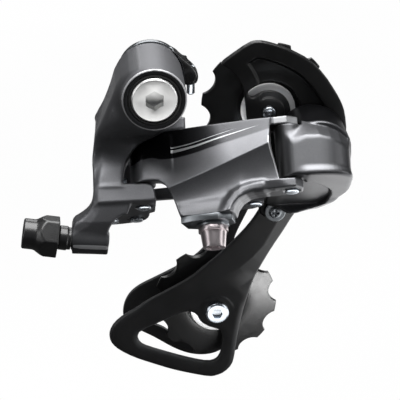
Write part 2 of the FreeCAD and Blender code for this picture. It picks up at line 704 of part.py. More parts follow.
def inner_link():
    face = dim.inner_wall_y1
    wall = slab_xz([(-1.0, -38.3), (-1.0, -22.0), (link_len - 9, -21.0),
                    (link_len - 2.0, -21.0), (link_len - 2.0, -46.0),
                    (link_len - 14.0, -46.0), (link_len - 20, -39.5), (8, -38.3)],
                   dim.inner_wall_y0, face)
    wall = wall.cut(slab_xz([(14, -34.5), (14, -26.5), (34, -26.0), (34, -35.0)], 0, 10))
    rear_eye = [(-3.6, -1.6), (0, -4.0), (3.6, -1.6), (6.5, face), (-1.0, face), (-3.9, 1.2)]
    front_eye = [(link_len - 7.5, face), (link_len - 3.6, -1.6), (link_len, -4.0),
                 (link_len + 3.6, -1.2), (link_len + 2.0, 4.0), (link_len - 2.0, face)]
    link = fuse(wall,
                slab_xy(rear_eye, -38.5, -35.9), slab_xy(rear_eye, -24.4, -21.8),
                slab_xy(front_eye, -46.0, -43.9), slab_xy(front_eye, -22.9, -21.0))
    link = link.cut(rod(dim.pin_hole_rad, LINK_B_LINE, -60, 0))
    # the front holes have more room round their pin
    link = link.cut(rod(dim.pin_rad + 0.25, LINK_P_LINE, -60, 0))
    # room for the cage plate, then for its axle's end, to swing past
    for radius, y in ((45.8, -0.4), (26.6, -1.9)):
        swing = rod(radius, CAGE_LINE, y, y + 40.0)
        swing.Placement = INNER_LINK.inverse().multiply(swing.Placement)
        link = link.cut(swing)
    return link


solid("inner_link", inner_link(), INNER_LINK)

# ===========================================================================
# Lower knuckle and what it carries
# ===========================================================================
cells(
    drum_rad=14.3, drum_out=16.2, drum_in=-0.05, nose_rad=11.0, nose_out=20.0,
    drum_chamber_rad=9.35, drum_chamber_out=16.6, lobe_out=13.0,
    knuckle_limit_rad=27.0, knuckle_limit_out=33.0, finger_out=2.5,
    # bosses round the pins (z in the linkage frame)
    outer_boss_rad=4.8, outer_boss_bottom=-42.9, outer_boss_top=-23.5,
    inner_boss_rad=3.9, inner_boss_bottom=-43.7, inner_boss_top=-23.1, ear_room_rad=4.9,
    axle_rad=5.0, axle_out=15.0, axle_hole_rad=5.04,
    p_spring_rad=8.3, p_spring_wire=0.62, p_spring_len=11.4,
    p_bush_rad=6.1, p_bush_out=13.6, p_bush_in=1.6, cover_out=1.05,
)
# (x, z) in the cycle frame
LOBE = [
    (44.8, -37.0), (44.6, -44.0), (42.4, -50.0), (40.9, -54.2), (42.8, -56.0), (44.6, -55.3),
    (50.0, -54.2), (56.0, -52.0), (62.0, -48.5), (67.0, -43.0)]
# (radius, degrees) round the cage axis
STOP_FINGER = [(22, 229), (30.5, 230.5), (32.3, 234), (32.6, 238), (31.5, 240.8), (22, 240.8)]


def round_cage_axis(radius, degrees):
    angle = math.radians(degrees)
    return (dim.cage_axis_x + radius * math.cos(angle),
            dim.cage_axis_z + radius * math.sin(angle))


def lower_knuckle():
    low = dim.outer_boss_bottom
    high = dim.outer_boss_top
    drum = rod(dim.drum_rad, DRUM_LINE, -dim.drum_out, -dim.drum_in)
    nose = taper(dim.nose_rad, dim.drum_rad, DRUM_LINE, -dim.nose_out, -dim.drum_out)
    outer_boss = rod(dim.outer_boss_rad, OUTER_P_LINE, low, high)
    inner_boss = rod(dim.inner_boss_rad, INNER_P_LINE,
                     dim.inner_boss_bottom, dim.inner_boss_top)
    pin_web = slab_xy([(outer_p.x - 3.4, outer_p.y + 2.4), (outer_p.x + 3.6, outer_p.y - 1.0),
                       (inner_p.x + 6.0, inner_p.y + 3.4), (inner_p.x - 2.0, inner_p.y - 2.2)],
                      low, high)
    bridge = slab_xy([(outer_p.x, outer_p.y - dim.outer_boss_rad), (54.0, -7.5), (62.0, -6.0),
                      (69.0, -1.0), (71.0, 6.0), (66.0, 14.0), (58.0, 20.0), (44.0, 21.0),
                      (39.0, 17.0), (44.0, 3.0)], -42.6, -23.8)
    lobe = cycle_slab(LOBE, -dim.lobe_out, -dim.drum_in)
    knuckle = fuse(drum, nose, outer_boss, inner_boss, pin_web, bridge, lobe)
    # keep everything outboard of the cage plate and inside a round envelope
    knuckle = knuckle.common(rod(dim.knuckle_limit_rad, DRUM_LINE,
                                 -dim.knuckle_limit_out, -dim.drum_in))
    # the cage's stop pin rests against this finger's radial edge
    finger = cycle_slab([round_cage_axis(*point) for point in STOP_FINGER],
                        -dim.finger_out, -dim.drum_in)
    return cut_all(fuse(knuckle, finger), [
        rod(dim.drum_chamber_rad, DRUM_LINE, -dim.drum_chamber_out, 3),
        rod(dim.pin_rad + dim.press_fit, OUTER_P_LINE, -60, 0),
        rod(dim.pin_rad + dim.press_fit, INNER_P_LINE, -60, 0),
        # room for the outer link's ears to swing
        rod(dim.ear_room_rad, OUTER_P_LINE, -48.0, low),
        rod(dim.ear_room_rad, OUTER_P_LINE, high, -18.0)])


solid("p_knuckle", lower_knuckle(), LINKAGE)
solid("outer_link_p_pin", rivet(OUTER_P_LINE, -46.65, -19.9, 0.7), LINKAGE)
solid("inner_link_p_pin", rivet(INNER_P_LINE, -46.2, -20.6, 0.7), LINKAGE)
solid("p_spring", coil_by_halves(dim.p_spring_rad, dim.p_spring_wire, dim.p_spring_len, 6,
                                 Vector(dim.cage_axis_x, -14.6, dim.cage_axis_z), Y_DIR))
solid("p_bushing", rod(dim.p_bush_rad, CAGE_LINE, -dim.p_bush_out, -dim.p_bush_in).cut(
    rod(dim.axle_hole_rad, CAGE_LINE, -15, 1)))
# Disc that closes the spring chamber towards the cage
solid("p_seal_ring",
      rod(dim.drum_chamber_rad - 0.03, CAGE_LINE, -dim.cover_out, -dim.drum_in).cut(
          rod(dim.axle_hole_rad, CAGE_LINE, -3, 3)))

# ===========================================================================
# Cage
# ===========================================================================
cells(
    # outboard faces of the plates (y) and their thicknesses
    outer_plate_y=1.0, outer_plate_thick=1.8, inner_plate_y=14.2, inner_plate_thick=1.8,
    # wheel centres
    guide_x=42.6, guide_z=-17.9, tension_x=24.2, tension_z=-99.2,
    wheel_hole_rad=2.52, arch_in_rad=6.7, arch_out_rad=11.3, arch_start_deg=2, arch_end_deg=126,
    guide_boss_rad=6.0, tension_boss_rad=6.3, boss_rise=0.8,
    axle_flange_rad=7.0, axle_recess_rad=2.0,
    stop_pin_x=45.4, stop_pin_z=-58.2, stop_pin_rad=2.0, stop_flange_rad=3.3,
)
# Closed spline outlines, (x, z)
OUTER_OUTLINE = outline_cells("outer_plate", [
    (25.4, 1.5), (27.2, 2.9), (31.0, 5.6), (35.2, 8.6), (38.5, 9.2), (42.6, 8.3), (49.1, 5.9),
    (57.1, 1.4), (62.7, -4.7), (66.9, -11.3), (68.9, -14.9), (70.3, -18.8), (71.3, -26.3),
    (70.6, -34), (66.8, -42), (60.5, -50), (52.9, -60), (49.3, -66.6), (45.4, -72.8),
    (42.3, -78.8), (39.2, -85.5), (36.5, -91.7), (34.7, -98), (33, -105.9), (31.7, -114.6),
    (31.3, -119.5), (30.3, -123.9), (27.5, -127.1), (24.2, -128.6), (21.3, -128.9),
    (14.6, -127.2), (7, -124.9), (-0.9, -121.7), (-8, -118.6), (-13.5, -115.1),
    (-16.2, -112.2), (-17.2, -109.5), (-17, -106.7), (-15.1, -103.1), (-11.3, -99.8),
    (-6.6, -97.1), (-1.9, -93.6), (4.6, -90.2), (13.9, -84.8), (19, -80.4), (24.1, -76),
    (29.1, -71), (34.1, -65.6), (37.4, -61.2), (40.1, -56.6), (43.0, -50.0), (44.2, -44.0),
    (43.6, -37.0), (41.0, -31.0), (36.8, -27.0), (34.6, -21.0), (33.9, -14.0), (33.3, -8.8),
    (31.2, -4.2), (29.0, -1.6), (27.2, -0.2), (25.9, 0.5)])
OUTER_WINDOW = outline_cells("window", [
    (-5.3, -106.8), (-6.5, -109.5), (-5.4, -112.5), (-2.6, -114.3), (7.2, -118.1),
    (14.7, -120.7), (20.9, -122.3), (24.2, -121.4), (25.9, -118.2), (26.5, -113),
    (26.3, -108.6), (24.4, -107.4), (20.5, -106), (17.8, -103.7), (16.4, -100.4),
    (12.6, -98.6), (5.0, -102.2)])
INNER_OUTLINE = outline_cells("inner_plate", [
    (33, -3), (42.6, 1.5), (50.0, -1.5), (55.0, -7), (56.5, -15), (54.0, -24), (49.5, -33),
    (45.4, -42.5), (42.3, -51.0), (39.6, -57.4), (36.2, -65.2), (32.9, -72.6), (31.4, -78.5),
    (32.2, -86), (34.6, -94), (35.6, -104), (34.6, -114), (30.5, -122), (24.5, -126.0),
    (18.8, -126.6), (14, -125.6), (7.7, -122.5), (0.6, -117.6), (-6.9, -113.2),
    (-10.6, -110.3), (-11.4, -106.5), (-10.6, -101.8), (-8.1, -97.4), (-4.6, -94.5),
    (-0.7, -92.4), (3.3, -90.4), (11.5, -86), (18, -81.5), (22.5, -76), (26.0, -69),
    (28.6, -61), (30.0, -50), (29.5, -38), (27.0, -26), (26.0, -14)])
INNER_WINDOW = outline_cells("inner_window", [
    (-2.6, -107.4), (-1.7, -110.3), (4.2, -113.8), (10.5, -117.3), (13.2, -114.0),
    (12.2, -107.5), (8.0, -103.8), (2.0, -104.2)])
GUARD_RIM = outline_cells("rim", [
    (25.9, 0.9), (35.4, 7.8), (38.5, 8.4), (42.3, 7.5), (48.7, 5.1), (56.6, 0.7),
    (62.0, -5.2), (66.1, -11.7), (68.1, -15.2), (69.5, -19.0), (70.5, -26.0), (64.5, -24.5),
    (62.3, -18.5), (59.7, -12.5), (56.6, -6.6), (51.0, -1.6), (44.5, 1.5), (38.1, 3.0),
    (32.0, 0.0)])
WHEEL_HOLES = [("guide_x", "guide_z", "wheel_hole_rad"),
               ("tension_x", "tension_z", "wheel_hole_rad")]


def cage_plate(name, outline, window, outboard_face, thick, holes):
    """Spline-edged plate with round holes and a window, padded inboard."""
    body = new_body(name)
    sketch = new_sketch(body, "XZ_Plane", "Outline", "-" + outboard_face)
    spline_loop(sketch, outline)
    for hole in holes:
        add_circle(sketch, *hole)
    spline_loop(sketch, window)
    pad_sketch(body, sketch, "Plate", thick).Reversed = True
    return body


def arched_opening(body):
    """Arched slot with round ends, part way round the guide wheel's bolt."""
    sketch = new_sketch(body, "XZ_Plane", "ArchedOpening", "-outer_plate_y")
    start = math.radians(dim.arch_start_deg)
    end = math.radians(dim.arch_end_deg)
    inside = dim.arch_in_rad
    outside = dim.arch_out_rad
    middle = (inside + outside) / 2
    half_width = (outside - inside) / 2
    centre = Vector(dim.guide_x, dim.guide_z, 0)
    start_centre = centre + Vector(math.cos(start), math.sin(start), 0) * middle
    end_centre = centre + Vector(math.cos(end), math.sin(end), 0) * middle
    for point, radius, angle0, angle1 in (
            (centre, outside, start, end),
            (end_centre, half_width, end, end + math.pi),
            (centre, inside, start, end),
            (start_centre, half_width, start + math.pi, start + 2 * math.pi)):
        circle = Part.Circle(point, Z_DIR, radius)
        sketch.addGeometry(Part.ArcOfCircle(circle, angle0, angle1), False)
    pocket = body.newObject("PartDesign::Pocket", "Arch")
    pocket.Profile = sketch
    pocket.Type = 1  # through all
    settle_pocket(pocket)


def outer_plate():
    body = cage_plate("outer_cage_plate", OUTER_OUTLINE, OUTER_WINDOW,
                      "outer_plate_y", "outer_plate_thick",
                      [("cage_axis_x", "cage_axis_z", "axle_hole_rad")] + WHEEL_HOLES)
    arched_opening(body)
    # bosses round both wheel bolts, raised from the outboard face
    sketch = new_sketch(body, "XZ_Plane", "BoltBosses", "-outer_plate_y")
    add_circle(sketch, "guide_x", "guide_z", "guide_boss_rad")
    add_circle(sketch, "tension_x", "tension_z", "tension_boss_rad")
    for hole in WHEEL_HOLES:
        add_circle(sketch, *hole)
    pad_sketch(body, sketch, "Bosses", "boss_rise")
    # band raised along the plate's upper front edge
    sketch = new_sketch(body, "XZ_Plane", "GuardRim", "-outer_plate_y")
    spline_loop(sketch, GUARD_RIM)
    pad_sketch(body, sketch, "Rim", "boss_rise")


def cage_axle():
    """Axle through the outer plate, with a flange inboard of the plate."""
    axle = fuse(rod(dim.axle_rad, CAGE_LINE, -dim.axle_out, 2.79),
                rod(dim.axle_flange_rad, CAGE_LINE, 2.82, 4.32),
                rod(dim.axle_rad, CAGE_LINE, 2.0, 3.5))
    return axle.cut(rod(dim.axle_recess_rad, CAGE_LINE, -0.5, 5.5))


def stop_pin():
    """Flanged pin that rests on the lower knuckle's finger."""
    line = along_y(dim.stop_pin_x, dim.stop_pin_z)
    return fuse(rod(dim.stop_pin_rad, line, -3.62, 0.98),
                taper(1.6, dim.stop_pin_rad, line, -4.0, -3.6),
                rod(dim.stop_flange_rad, line, -3.4, -2.6))


outer_plate()
cage_plate("inner_cage_plate", INNER_OUTLINE, INNER_WINDOW,
           "inner_plate_y", "inner_plate_thick", WHEEL_HOLES)
solid("cage_axle", cage_axle())
solid("cage_stop_pin", stop_pin())

# ===========================================================================
# Jockey wheels, their bushings, dust caps and bolts
# ===========================================================================
cells(
    wheel_teeth=11.0, roller_rad=5.3, gullet_centre=26.2, gullet_arc_deg=105,
    tip_rad=23.8, tip_shoulder=21.6, root_web_rad=19.6, half_tip=0.55,
    tooth_thick=2.2, wheel_web_thick=3.4, wheel_hub_thick=7.0,
    half_tooth="=tooth_thick / 2", half_web="=wheel_web_thick / 2",
    half_hub="=wheel_hub_thick / 2",
    wheel_hub_rad=9.6, wheel_bore_rad=4.04,
    # thicker ring on both faces of the web
    ring_start=11.2, ring_end=14.5, half_ring=2.5,
    wheel_gap_start="=outer_plate_y + outer_plate_thick",
    wheel_mid="=(wheel_gap_start + inner_plate_y) / 2",
    wheel_bush_rad=4.0, wheel_bolt_rad=2.5, sleeve_gap=0.02, bolt_gap=0.04,
    cap_bore_rad=4.06, cap_rad=9.9, cap_gap=0.05,
    wheel_hex_across=3.5, tension_head_rad=4.4,
)


def gullet_sketch(body):
    """Roller seat open towards the rim, closed beyond the tooth tips."""
    sketch = new_sketch(body, "XZ_Plane", "Gullet")
    radius = dim.roller_rad
    centre = Vector(dim.gullet_centre, 0, 0)
    angle = math.radians(dim.gullet_arc_deg)
    up = Vector(centre.x + radius * math.cos(angle), radius * math.sin(angle), 0)
    down = Vector(up.x, -up.y, 0)
    far_x = dim.tip_rad + 2.8
    far_y = up.y + 0.3
    far_down = Vector(far_x, -far_y, 0)
    far_up = Vector(far_x, far_y, 0)
    circle = Part.Circle(centre, Z_DIR, radius)
    sketch.addGeometry(Part.ArcOfCircle(circle, angle, 2 * math.pi - angle), False)
    for start, end in ((down, far_down), (far_down, far_up), (far_up, up)):
        sketch.addGeometry(Part.LineSegment(start, end), False)
    sketch.addConstraint(Constraint("PointOnObject", 0, 3, -1))
    drive(sketch, Constraint("DistanceX", -1, 1, 0, 3, centre.x), expression("gullet_centre"))
    drive(sketch, Constraint("Radius", 0, radius), expression("roller_rad"))
    for i in range(4):
        sketch.addConstraint(Constraint("Coincident", i, 2, (i + 1) % 4, 1))
    return sketch


def jockey_wheel(name, x, z, turn_deg):
    """Turned blank with one gullet cut and patterned round it."""
    body = new_body(name)
    turned(body, [
        ("wheel_bore_rad", "-half_hub"), ("wheel_hub_rad", "-half_hub"),
        ("wheel_hub_rad", "-half_web"), ("ring_start", "-half_web"),
        ("ring_start", "-half_ring"), ("ring_end", "-half_ring"),
        ("root_web_rad", "-half_web"), ("tip_shoulder", "-half_tooth"),
        ("tip_rad", "-half_tip"), ("tip_rad", "half_tip"),
        ("tip_shoulder", "half_tooth"), ("root_web_rad", "half_web"),
        ("ring_end", "half_ring"), ("ring_start", "half_ring"),
        ("ring_start", "half_web"), ("wheel_hub_rad", "half_web"),
        ("wheel_hub_rad", "half_hub"), ("wheel_bore_rad", "half_hub")], "Blank")
    gullet = gullet_sketch(body)
    pocket = body.newObject("PartDesign::Pocket", "GulletCut")
    pocket.Profile = gullet
    pocket.Type = 1  # through all
    pocket.Midplane = True
    doc.recompute()
    if removed_volume(pocket) < 1:
        raise RuntimeError("gullet cuts nothing")
    teeth = body.newObject("PartDesign::PolarPattern", "Teeth")
    teeth.Originals = [pocket]
    teeth.Axis = (origin_feature(body, "Y_Axis"), [""])
    teeth.Angle = 360.0
    teeth.setExpression("Occurrences", expression("wheel_teeth"))
    body.Tip = teeth
    doc.recompute()
    body.Placement = Placement(Vector(x, dim.wheel_mid, z), Rotation(Y_DIR, turn_deg))


def wheel_bushing(wheel, x, z):
    """Sleeve between the cage plates."""
    outside = doc.addObject("Part::Cylinder", wheel + "_sleeve_outer")
    outside.setExpression("Radius", "Dimensions.wheel_bush_rad")
    outside.setExpression("Height", "Dimensions.inner_plate_y - Dimensions.wheel_gap_start"
                                    " - 2 * Dimensions.sleeve_gap")
    bore = doc.addObject("Part::Cylinder", wheel + "_sleeve_inner")
    bore.setExpression("Radius", "Dimensions.wheel_bolt_rad + Dimensions.bolt_gap")
    bore.setExpression("Height", "Dimensions.inner_plate_y")
    for cylinder in (outside, bore):
        cylinder.Placement = Placement(Vector(x, dim.wheel_gap_start + dim.sleeve_gap, z),
                                       Rotation(Z_DIR, Y_DIR))
    name = wheel + "_pulley_bushing"
    sleeve = doc.addObject("Part::Cut", name)
    sleeve.Base = outside
    sleeve.Tool = bore
    piece(name, sleeve)


def revolved(x, z, profile):
    """Turn a closed profile of (radius, y) points about the line along y at x, z."""
    face = poly_face([Vector(x + radius, y, z) for radius, y in profile])
    return face.revolve(Vector(x, 0, z), Y_DIR, 360)


def dust_caps(x, z):
    """Pair of lipped caps, one each side of the wheel."""
    bore = dim.cap_bore_rad
    rim = dim.cap_rad
    # (radius, distance from the cage plate's side)
    profile = [(bore, 0), (rim - 1.0, 0), (rim, 0.5), (rim, 1.55), (rim - 0.5, 1.55),
               (rim - 0.5, 0.75), (rim - 1.2, 0.5), (bore, 0.5)]
    caps = []
    for sign, y in ((1, dim.wheel_gap_start + dim.cap_gap),
                    (-1, dim.inner_plate_y - dim.cap_gap)):
        caps.append(revolved(x, z, [(radius, y + sign * rise) for radius, rise in profile]))
    return Part.makeCompound(caps)


def guide_bolt():
    """Socket head on the inboard side, domed end showing in the outer plate."""
    x = dim.guide_x
    z = dim.guide_z
    shank = dim.wheel_bolt_rad
    bolt = revolved(x, z, [
        (0.0, -0.95), (1.0, -0.9), (1.8, -0.7), (2.3, -0.35), (shank, 0.1), (shank, 16.02),
        (4.2, 16.02), (4.2, 18.0), (3.8, 18.4), (0.0, 18.4)])
    return bolt.cut(slab_xz(hexagon(x, z, dim.wheel_hex_across), 16.4, 20.4))


def tension_bolt():
    """Bevelled socket head on the outboard side."""
    x = dim.tension_x
    z = dim.tension_z
    line = along_y(x, z)
    head = dim.tension_head_rad
    bolt = fuse(rod(dim.wheel_bolt_rad, line, -0.5, 17.1),
                rod(head, line, -1.15, 0.15),
                taper(3.7, head, line, -1.85, -1.15))
    return bolt.cut(slab_xz(hexagon(x, z, dim.wheel_hex_across), -3.0, 0.2))


jockey_wheel("guide_pulley", dim.guide_x, dim.guide_z, 7.0)
jockey_wheel("tension_pulley", dim.tension_x, dim.tension_z, -9.0)
for wheel, x, z in (("guide", dim.guide_x, dim.guide_z),
                    ("tension", dim.tension_x, dim.tension_z)):
    wheel_bushing(wheel, x, z)
    solid(wheel + "_pulley_dust_caps", dust_caps(x, z))
solid("guide_pulley_bolt", guide_bolt())
solid("tension_pulley_bolt", tension_bolt())

# ---------------------------------------------------------------------------
# Check every object, then write one file per piece
# ---------------------------------------------------------------------------
doc.recompute()
faults = []
for obj in doc.Objects:
    if "Invalid" in obj.State or "Error" in obj.State:
        faults.append("%s state %s" % (obj.Label, obj.State))
for name, obj in pieces:
    if obj.Shape.isNull():
        faults.append(name + " null")
        continue
    if not obj.Shape.isValid():
        faults.append(name + " invalid")
    if not obj.Shape.Solids:
        faults.append(name + " no solid")
if faults:
    raise RuntimeError("; ".join(faults))

os.makedirs("parts", exist_ok=True)
for name, obj in pieces:
    obj.Shape.exportStep("parts/%s.step" % name)
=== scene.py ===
"""Rear derailleur: detailed castings and pressings, materials, studio and camera.

The upper knuckle's barrel lies along the Y axis. +X runs towards the lower knuckle, +Z is up
and the cage hangs below. -Y is the outer side, which faces the camera; +Y is the inner side.
Shapes are signed distance fields in mm, negative inside. Blender's own units are metres.
"""
import bpy
import json
import math
import numpy as np
from mathutils import Matrix, Vector

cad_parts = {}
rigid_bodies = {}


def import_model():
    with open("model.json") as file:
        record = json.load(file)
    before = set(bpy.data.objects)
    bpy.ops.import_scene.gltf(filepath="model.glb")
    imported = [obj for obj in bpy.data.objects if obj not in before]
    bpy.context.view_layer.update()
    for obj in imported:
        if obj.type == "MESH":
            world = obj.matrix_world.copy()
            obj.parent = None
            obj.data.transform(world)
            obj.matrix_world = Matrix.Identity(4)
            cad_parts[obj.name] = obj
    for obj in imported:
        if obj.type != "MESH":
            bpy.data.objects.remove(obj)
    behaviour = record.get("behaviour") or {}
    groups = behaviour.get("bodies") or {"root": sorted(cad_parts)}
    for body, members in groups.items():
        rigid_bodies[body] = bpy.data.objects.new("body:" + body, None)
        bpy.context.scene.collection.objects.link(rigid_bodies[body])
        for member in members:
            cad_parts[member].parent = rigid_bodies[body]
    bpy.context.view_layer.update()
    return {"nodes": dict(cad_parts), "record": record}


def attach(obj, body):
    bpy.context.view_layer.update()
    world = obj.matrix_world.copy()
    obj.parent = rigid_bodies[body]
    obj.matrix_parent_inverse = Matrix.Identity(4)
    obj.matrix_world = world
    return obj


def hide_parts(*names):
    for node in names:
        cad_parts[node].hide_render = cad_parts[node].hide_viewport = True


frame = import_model()
NODES = frame["nodes"]
MM = 0.001

# ---------------------------------------------------------------------------
# Driving dimensions (mm)
# ---------------------------------------------------------------------------
# Pin frame: x, across and height, with height along the four tilted link pins.
PIN_TILT = math.radians(42.0)
COS_TILT, SIN_TILT = math.cos(PIN_TILT), math.sin(PIN_TILT)

# Pin centres (x, across): B in the upper knuckle, P in the lower one.
B_OUTER = (-3.7, 15.0)
P_OUTER = (46.8, -1.0)
B_INNER = (-14.9, 31.0)
P_INNER = (B_INNER[0] + P_OUTER[0] - B_OUTER[0], B_INNER[1] + P_OUTER[1] - B_OUTER[1])

# Link frame: along the outer link from its B pin, off its plane, and height.
LINK_LENGTH = math.hypot(P_OUTER[0] - B_OUTER[0], P_OUTER[1] - B_OUTER[1])
LINK_ANGLE = math.atan2(P_OUTER[1] - B_OUTER[1], P_OUTER[0] - B_OUTER[0])
COS_LINK, SIN_LINK = math.cos(LINK_ANGLE), math.sin(LINK_ANGLE)

# Centres (x, z) of the parts that turn about Y.
CAGE_AXLE = (58.5, -30.5)
GUIDE = (42.6, -17.9)
TENSION = (24.2, -99.2)
STOP_SCREW = (45.2, -55.9)

# Ends of the cable adjuster's axis.
ADJUSTER_START = np.array([-46.5, -25.0, -49.9])
ADJUSTER_END = np.array([-17.2, -25.0, -55.0])
ADJUSTER_AXIS = ADJUSTER_END - ADJUSTER_START
ADJUSTER_AXIS = ADJUSTER_AXIS / np.linalg.norm(ADJUSTER_AXIS)


def pin_coords(y, z):
    """Across and height in the pin frame; x is shared."""
    return y * COS_TILT - z * SIN_TILT, y * SIN_TILT + z * COS_TILT


def link_coords(points):
    """Along, off and height in the outer link's frame."""
    x, y, z = points.T
    across, height = pin_coords(y, z)
    dx, da = x - B_OUTER[0], across - B_OUTER[1]
    return dx * COS_LINK + da * SIN_LINK, -dx * SIN_LINK + da * COS_LINK, height


def link_point(along, off):
    """XYZ of a link-frame point at height 0."""
    x = B_OUTER[0] + along * COS_LINK - off * SIN_LINK
    across = B_OUTER[1] + along * SIN_LINK + off * COS_LINK
    return np.array([x, across * COS_TILT, -across * SIN_TILT])


# ---------------------------------------------------------------------------
# Signed distance toolkit
# ---------------------------------------------------------------------------
def join(blend, solid, *others):
    """Smooth union over a width of `blend`."""
    for other in others:
        mix = np.clip(0.5 + 0.5 * (other - solid) / blend, 0, 1)
        solid = other * (1 - mix) + solid * mix - blend * mix * (1 - mix)
    return solid


def meet(blend, *solids):
    """Smooth intersection."""
    return -join(blend, *(-solid for solid in solids))


def carve(blend, solid, *cuts):
    """Take each cut out of the solid."""
    return meet(blend, solid, *(-cut for cut in cuts))


def smoothstep(value, low, high):
    t = np.clip((value - low) / (high - low), 0, 1)
    return t * t * (3 - 2 * t)


def soften(outline, passes=1):
    """Cut the corners of a closed outline at a quarter of each edge."""
    points = np.array(outline, float)
    for _ in range(passes):
        after = np.roll(points, -1, 0)
        cut = [0.75 * points + 0.25 * after, 0.25 * points + 0.75 * after]
        points = np.stack(cut, 1).reshape(-1, 2)
    return points


def polyline(x, y, points):
    """Distance to an open polyline."""
    gap = np.full(x.shape, 1e18)
    for (x0, y0), (x1, y1) in zip(points[:-1], points[1:]):
        run, rise = x1 - x0, y1 - y0
        dx, dy = x - x0, y - y0
        t = np.clip((dx * run + dy * rise) / (run * run + rise * rise), 0, 1)
        gap = np.minimum(gap, (dx - run * t) ** 2 + (dy - rise * t) ** 2)
    return np.sqrt(gap)


def polygon(x, y, outline):
    """Signed distance to a closed outline."""
    inside = np.zeros(x.shape, bool)
    for (x0, y0), (x1, y1) in zip(outline, np.roll(outline, -1, 0)):
        if y1 != y0:
            inside ^= ((y0 > y) != (y1 > y)) & (x < (x1 - x0) * (y - y0) / (y1 - y0) + x0)
    return np.where(inside, -1.0, 1.0) * polyline(x, y, [*outline, outline[0]])


def circle(x, y, centre, radius):
    return np.hypot(x - centre[0], y - centre[1]) - radius


def extrude(section, axis, low, high, edge=0.0):
    """Extrude a 2-D distance from low to high, with edges rounded by `edge`."""
    end = np.abs(axis - 0.5 * (low + high)) - 0.5 * (high - low) + edge
    side = section + edge
    outside = np.hypot(np.maximum(side, 0), np.maximum(end, 0))
    return np.minimum(np.maximum(side, end), 0) + outside - edge


def about_axis(points, origin, direction):
    """Distance along an axis, and the offset vectors from it."""
    along = (points - origin) @ direction
    return along, (points - origin) - along[:, None] * direction


def rod(points, start, end, radius, edge=0.0):
    length = np.linalg.norm(end - start)
    along, offset = about_axis(points, start, (end - start) / length)
    return extrude(np.linalg.norm(offset, axis=1) - radius, along, 0, length, edge)


# ---------------------------------------------------------------------------
# Surface nets, with the vertices projected on the exact surface
# ---------------------------------------------------------------------------
BLOCK = 8             # voxels along a sampling block
BATCH = 400           # blocks sampled per call
GRADIENT_STEP = 0.03  # mm
RELAX_PASSES = 2
RELAX_SHARE = 0.6     # part of the way moved to the neighbours' mean
MAX_STEP = 0.6        # longest projection step, in voxels


def gradient(field, points):
    slope = np.empty_like(points)
    for axis, shift in enumerate(GRADIENT_STEP * np.eye(3)):
        rise = field(points + shift) - field(points - shift)
        slope[:, axis] = rise / (2 * GRADIENT_STEP)
    return slope


def lattice(counts):
    """All integer triples below the three counts."""
    ranges = [np.arange(count) for count in counts]
    return np.stack(np.meshgrid(*ranges, indexing="ij"), -1).reshape(-1, 3)


def sample(field, low, high, voxel):
    """Field values on a grid; blocks far from the surface take their centre's value."""
    counts = np.ceil((high - low) / (voxel * BLOCK)).astype(int)
    values = np.empty(tuple(counts * BLOCK + 1))
    blocks = lattice(counts)
    centre = field(low + (blocks + 0.5) * BLOCK * voxel)
    # half a block's diagonal, with a margin
    near = np.abs(centre) < 0.5 * BLOCK * voxel * 1.7321 * 1.35 + voxel
    for block, value in zip(blocks[~near], centre[~near]):
        i, j, k = block * BLOCK
        values[i:i + BLOCK + 1, j:j + BLOCK + 1, k:k + BLOCK + 1] = value
    blocks = blocks[near]
    corners = lattice([BLOCK + 1] * 3)
    for first in range(0, len(blocks), BATCH):
        batch = blocks[first:first + BATCH]
        index = (batch[:, None, :] * BLOCK + corners[None]).reshape(-1, 3)
        values[tuple(index.T)] = field(low + index * voxel)
    return values


def net_points(values):
    """Cells crossed by the surface and the mean crossing of each, in voxels."""
    solid = values < 0
    nx, ny, nz = np.array(solid.shape) - 1
    corners = [solid[i:nx + i, j:ny + j, k:nz + k] for i, j, k in lattice((2, 2, 2))]
    crossed = np.logical_or.reduce(corners) & ~np.logical_and.reduce(corners)
    cells = np.argwhere(crossed)
    total = np.zeros((len(cells), 3))
    count = np.zeros(len(cells))
    for axis in range(3):
        for start in lattice((2, 2, 2)):
            if start[axis]:
                continue
            end = start.copy()
            end[axis] = 1
            at_start = values[tuple((cells + start).T)]
            at_end = values[tuple((cells + end).T)]
            hit = (at_start < 0) != (at_end < 0)
            t = at_start[hit] / (at_start[hit] - at_end[hit])
            total[hit] += start + (end - start) * t[:, None]
            count[hit] += 1
    return cells, cells + total / count[:, None]


def net_faces(values, cells):
    """One quad round every grid edge that the surface crosses."""
    solid = values < 0
    number = np.full(tuple(np.array(solid.shape) - 1), -1, np.int64)
    number[tuple(cells.T)] = np.arange(len(cells))
    faces = []
    for axis in range(3):
        second, third = [(1, 2), (2, 0), (0, 1)][axis]
        near, far = [slice(1, -1)] * 3, [slice(1, -1)] * 3
        near[axis], far[axis] = slice(0, -1), slice(1, None)
        start, end = solid[tuple(near)], solid[tuple(far)]
        index = np.argwhere(start != end)
        outward = start[tuple(index.T)]
        index = index + 1
        index[:, axis] -= 1
        corners = []
        for i, j in ((-1, -1), (0, -1), (0, 0), (-1, 0)):
            cell = index.copy()
            cell[:, second] += i
            cell[:, third] += j
            corners.append(number[tuple(cell.T)])
        quads = np.stack(corners, 1)
        quads[~outward] = quads[~outward][:, ::-1]
        faces.append(quads)
    return np.vstack(faces)


def project(field, points, voxel, passes):
    for _ in range(passes):
        value = field(points)
        slope = gradient(field, points)
        steep = np.maximum((slope * slope).sum(1), 0.15)
        step = -(value / steep)[:, None] * slope
        length = np.linalg.norm(step, axis=1)
        step *= np.minimum(1, MAX_STEP * voxel / np.maximum(length, 1e-9))[:, None]
        points = points + step
    return points


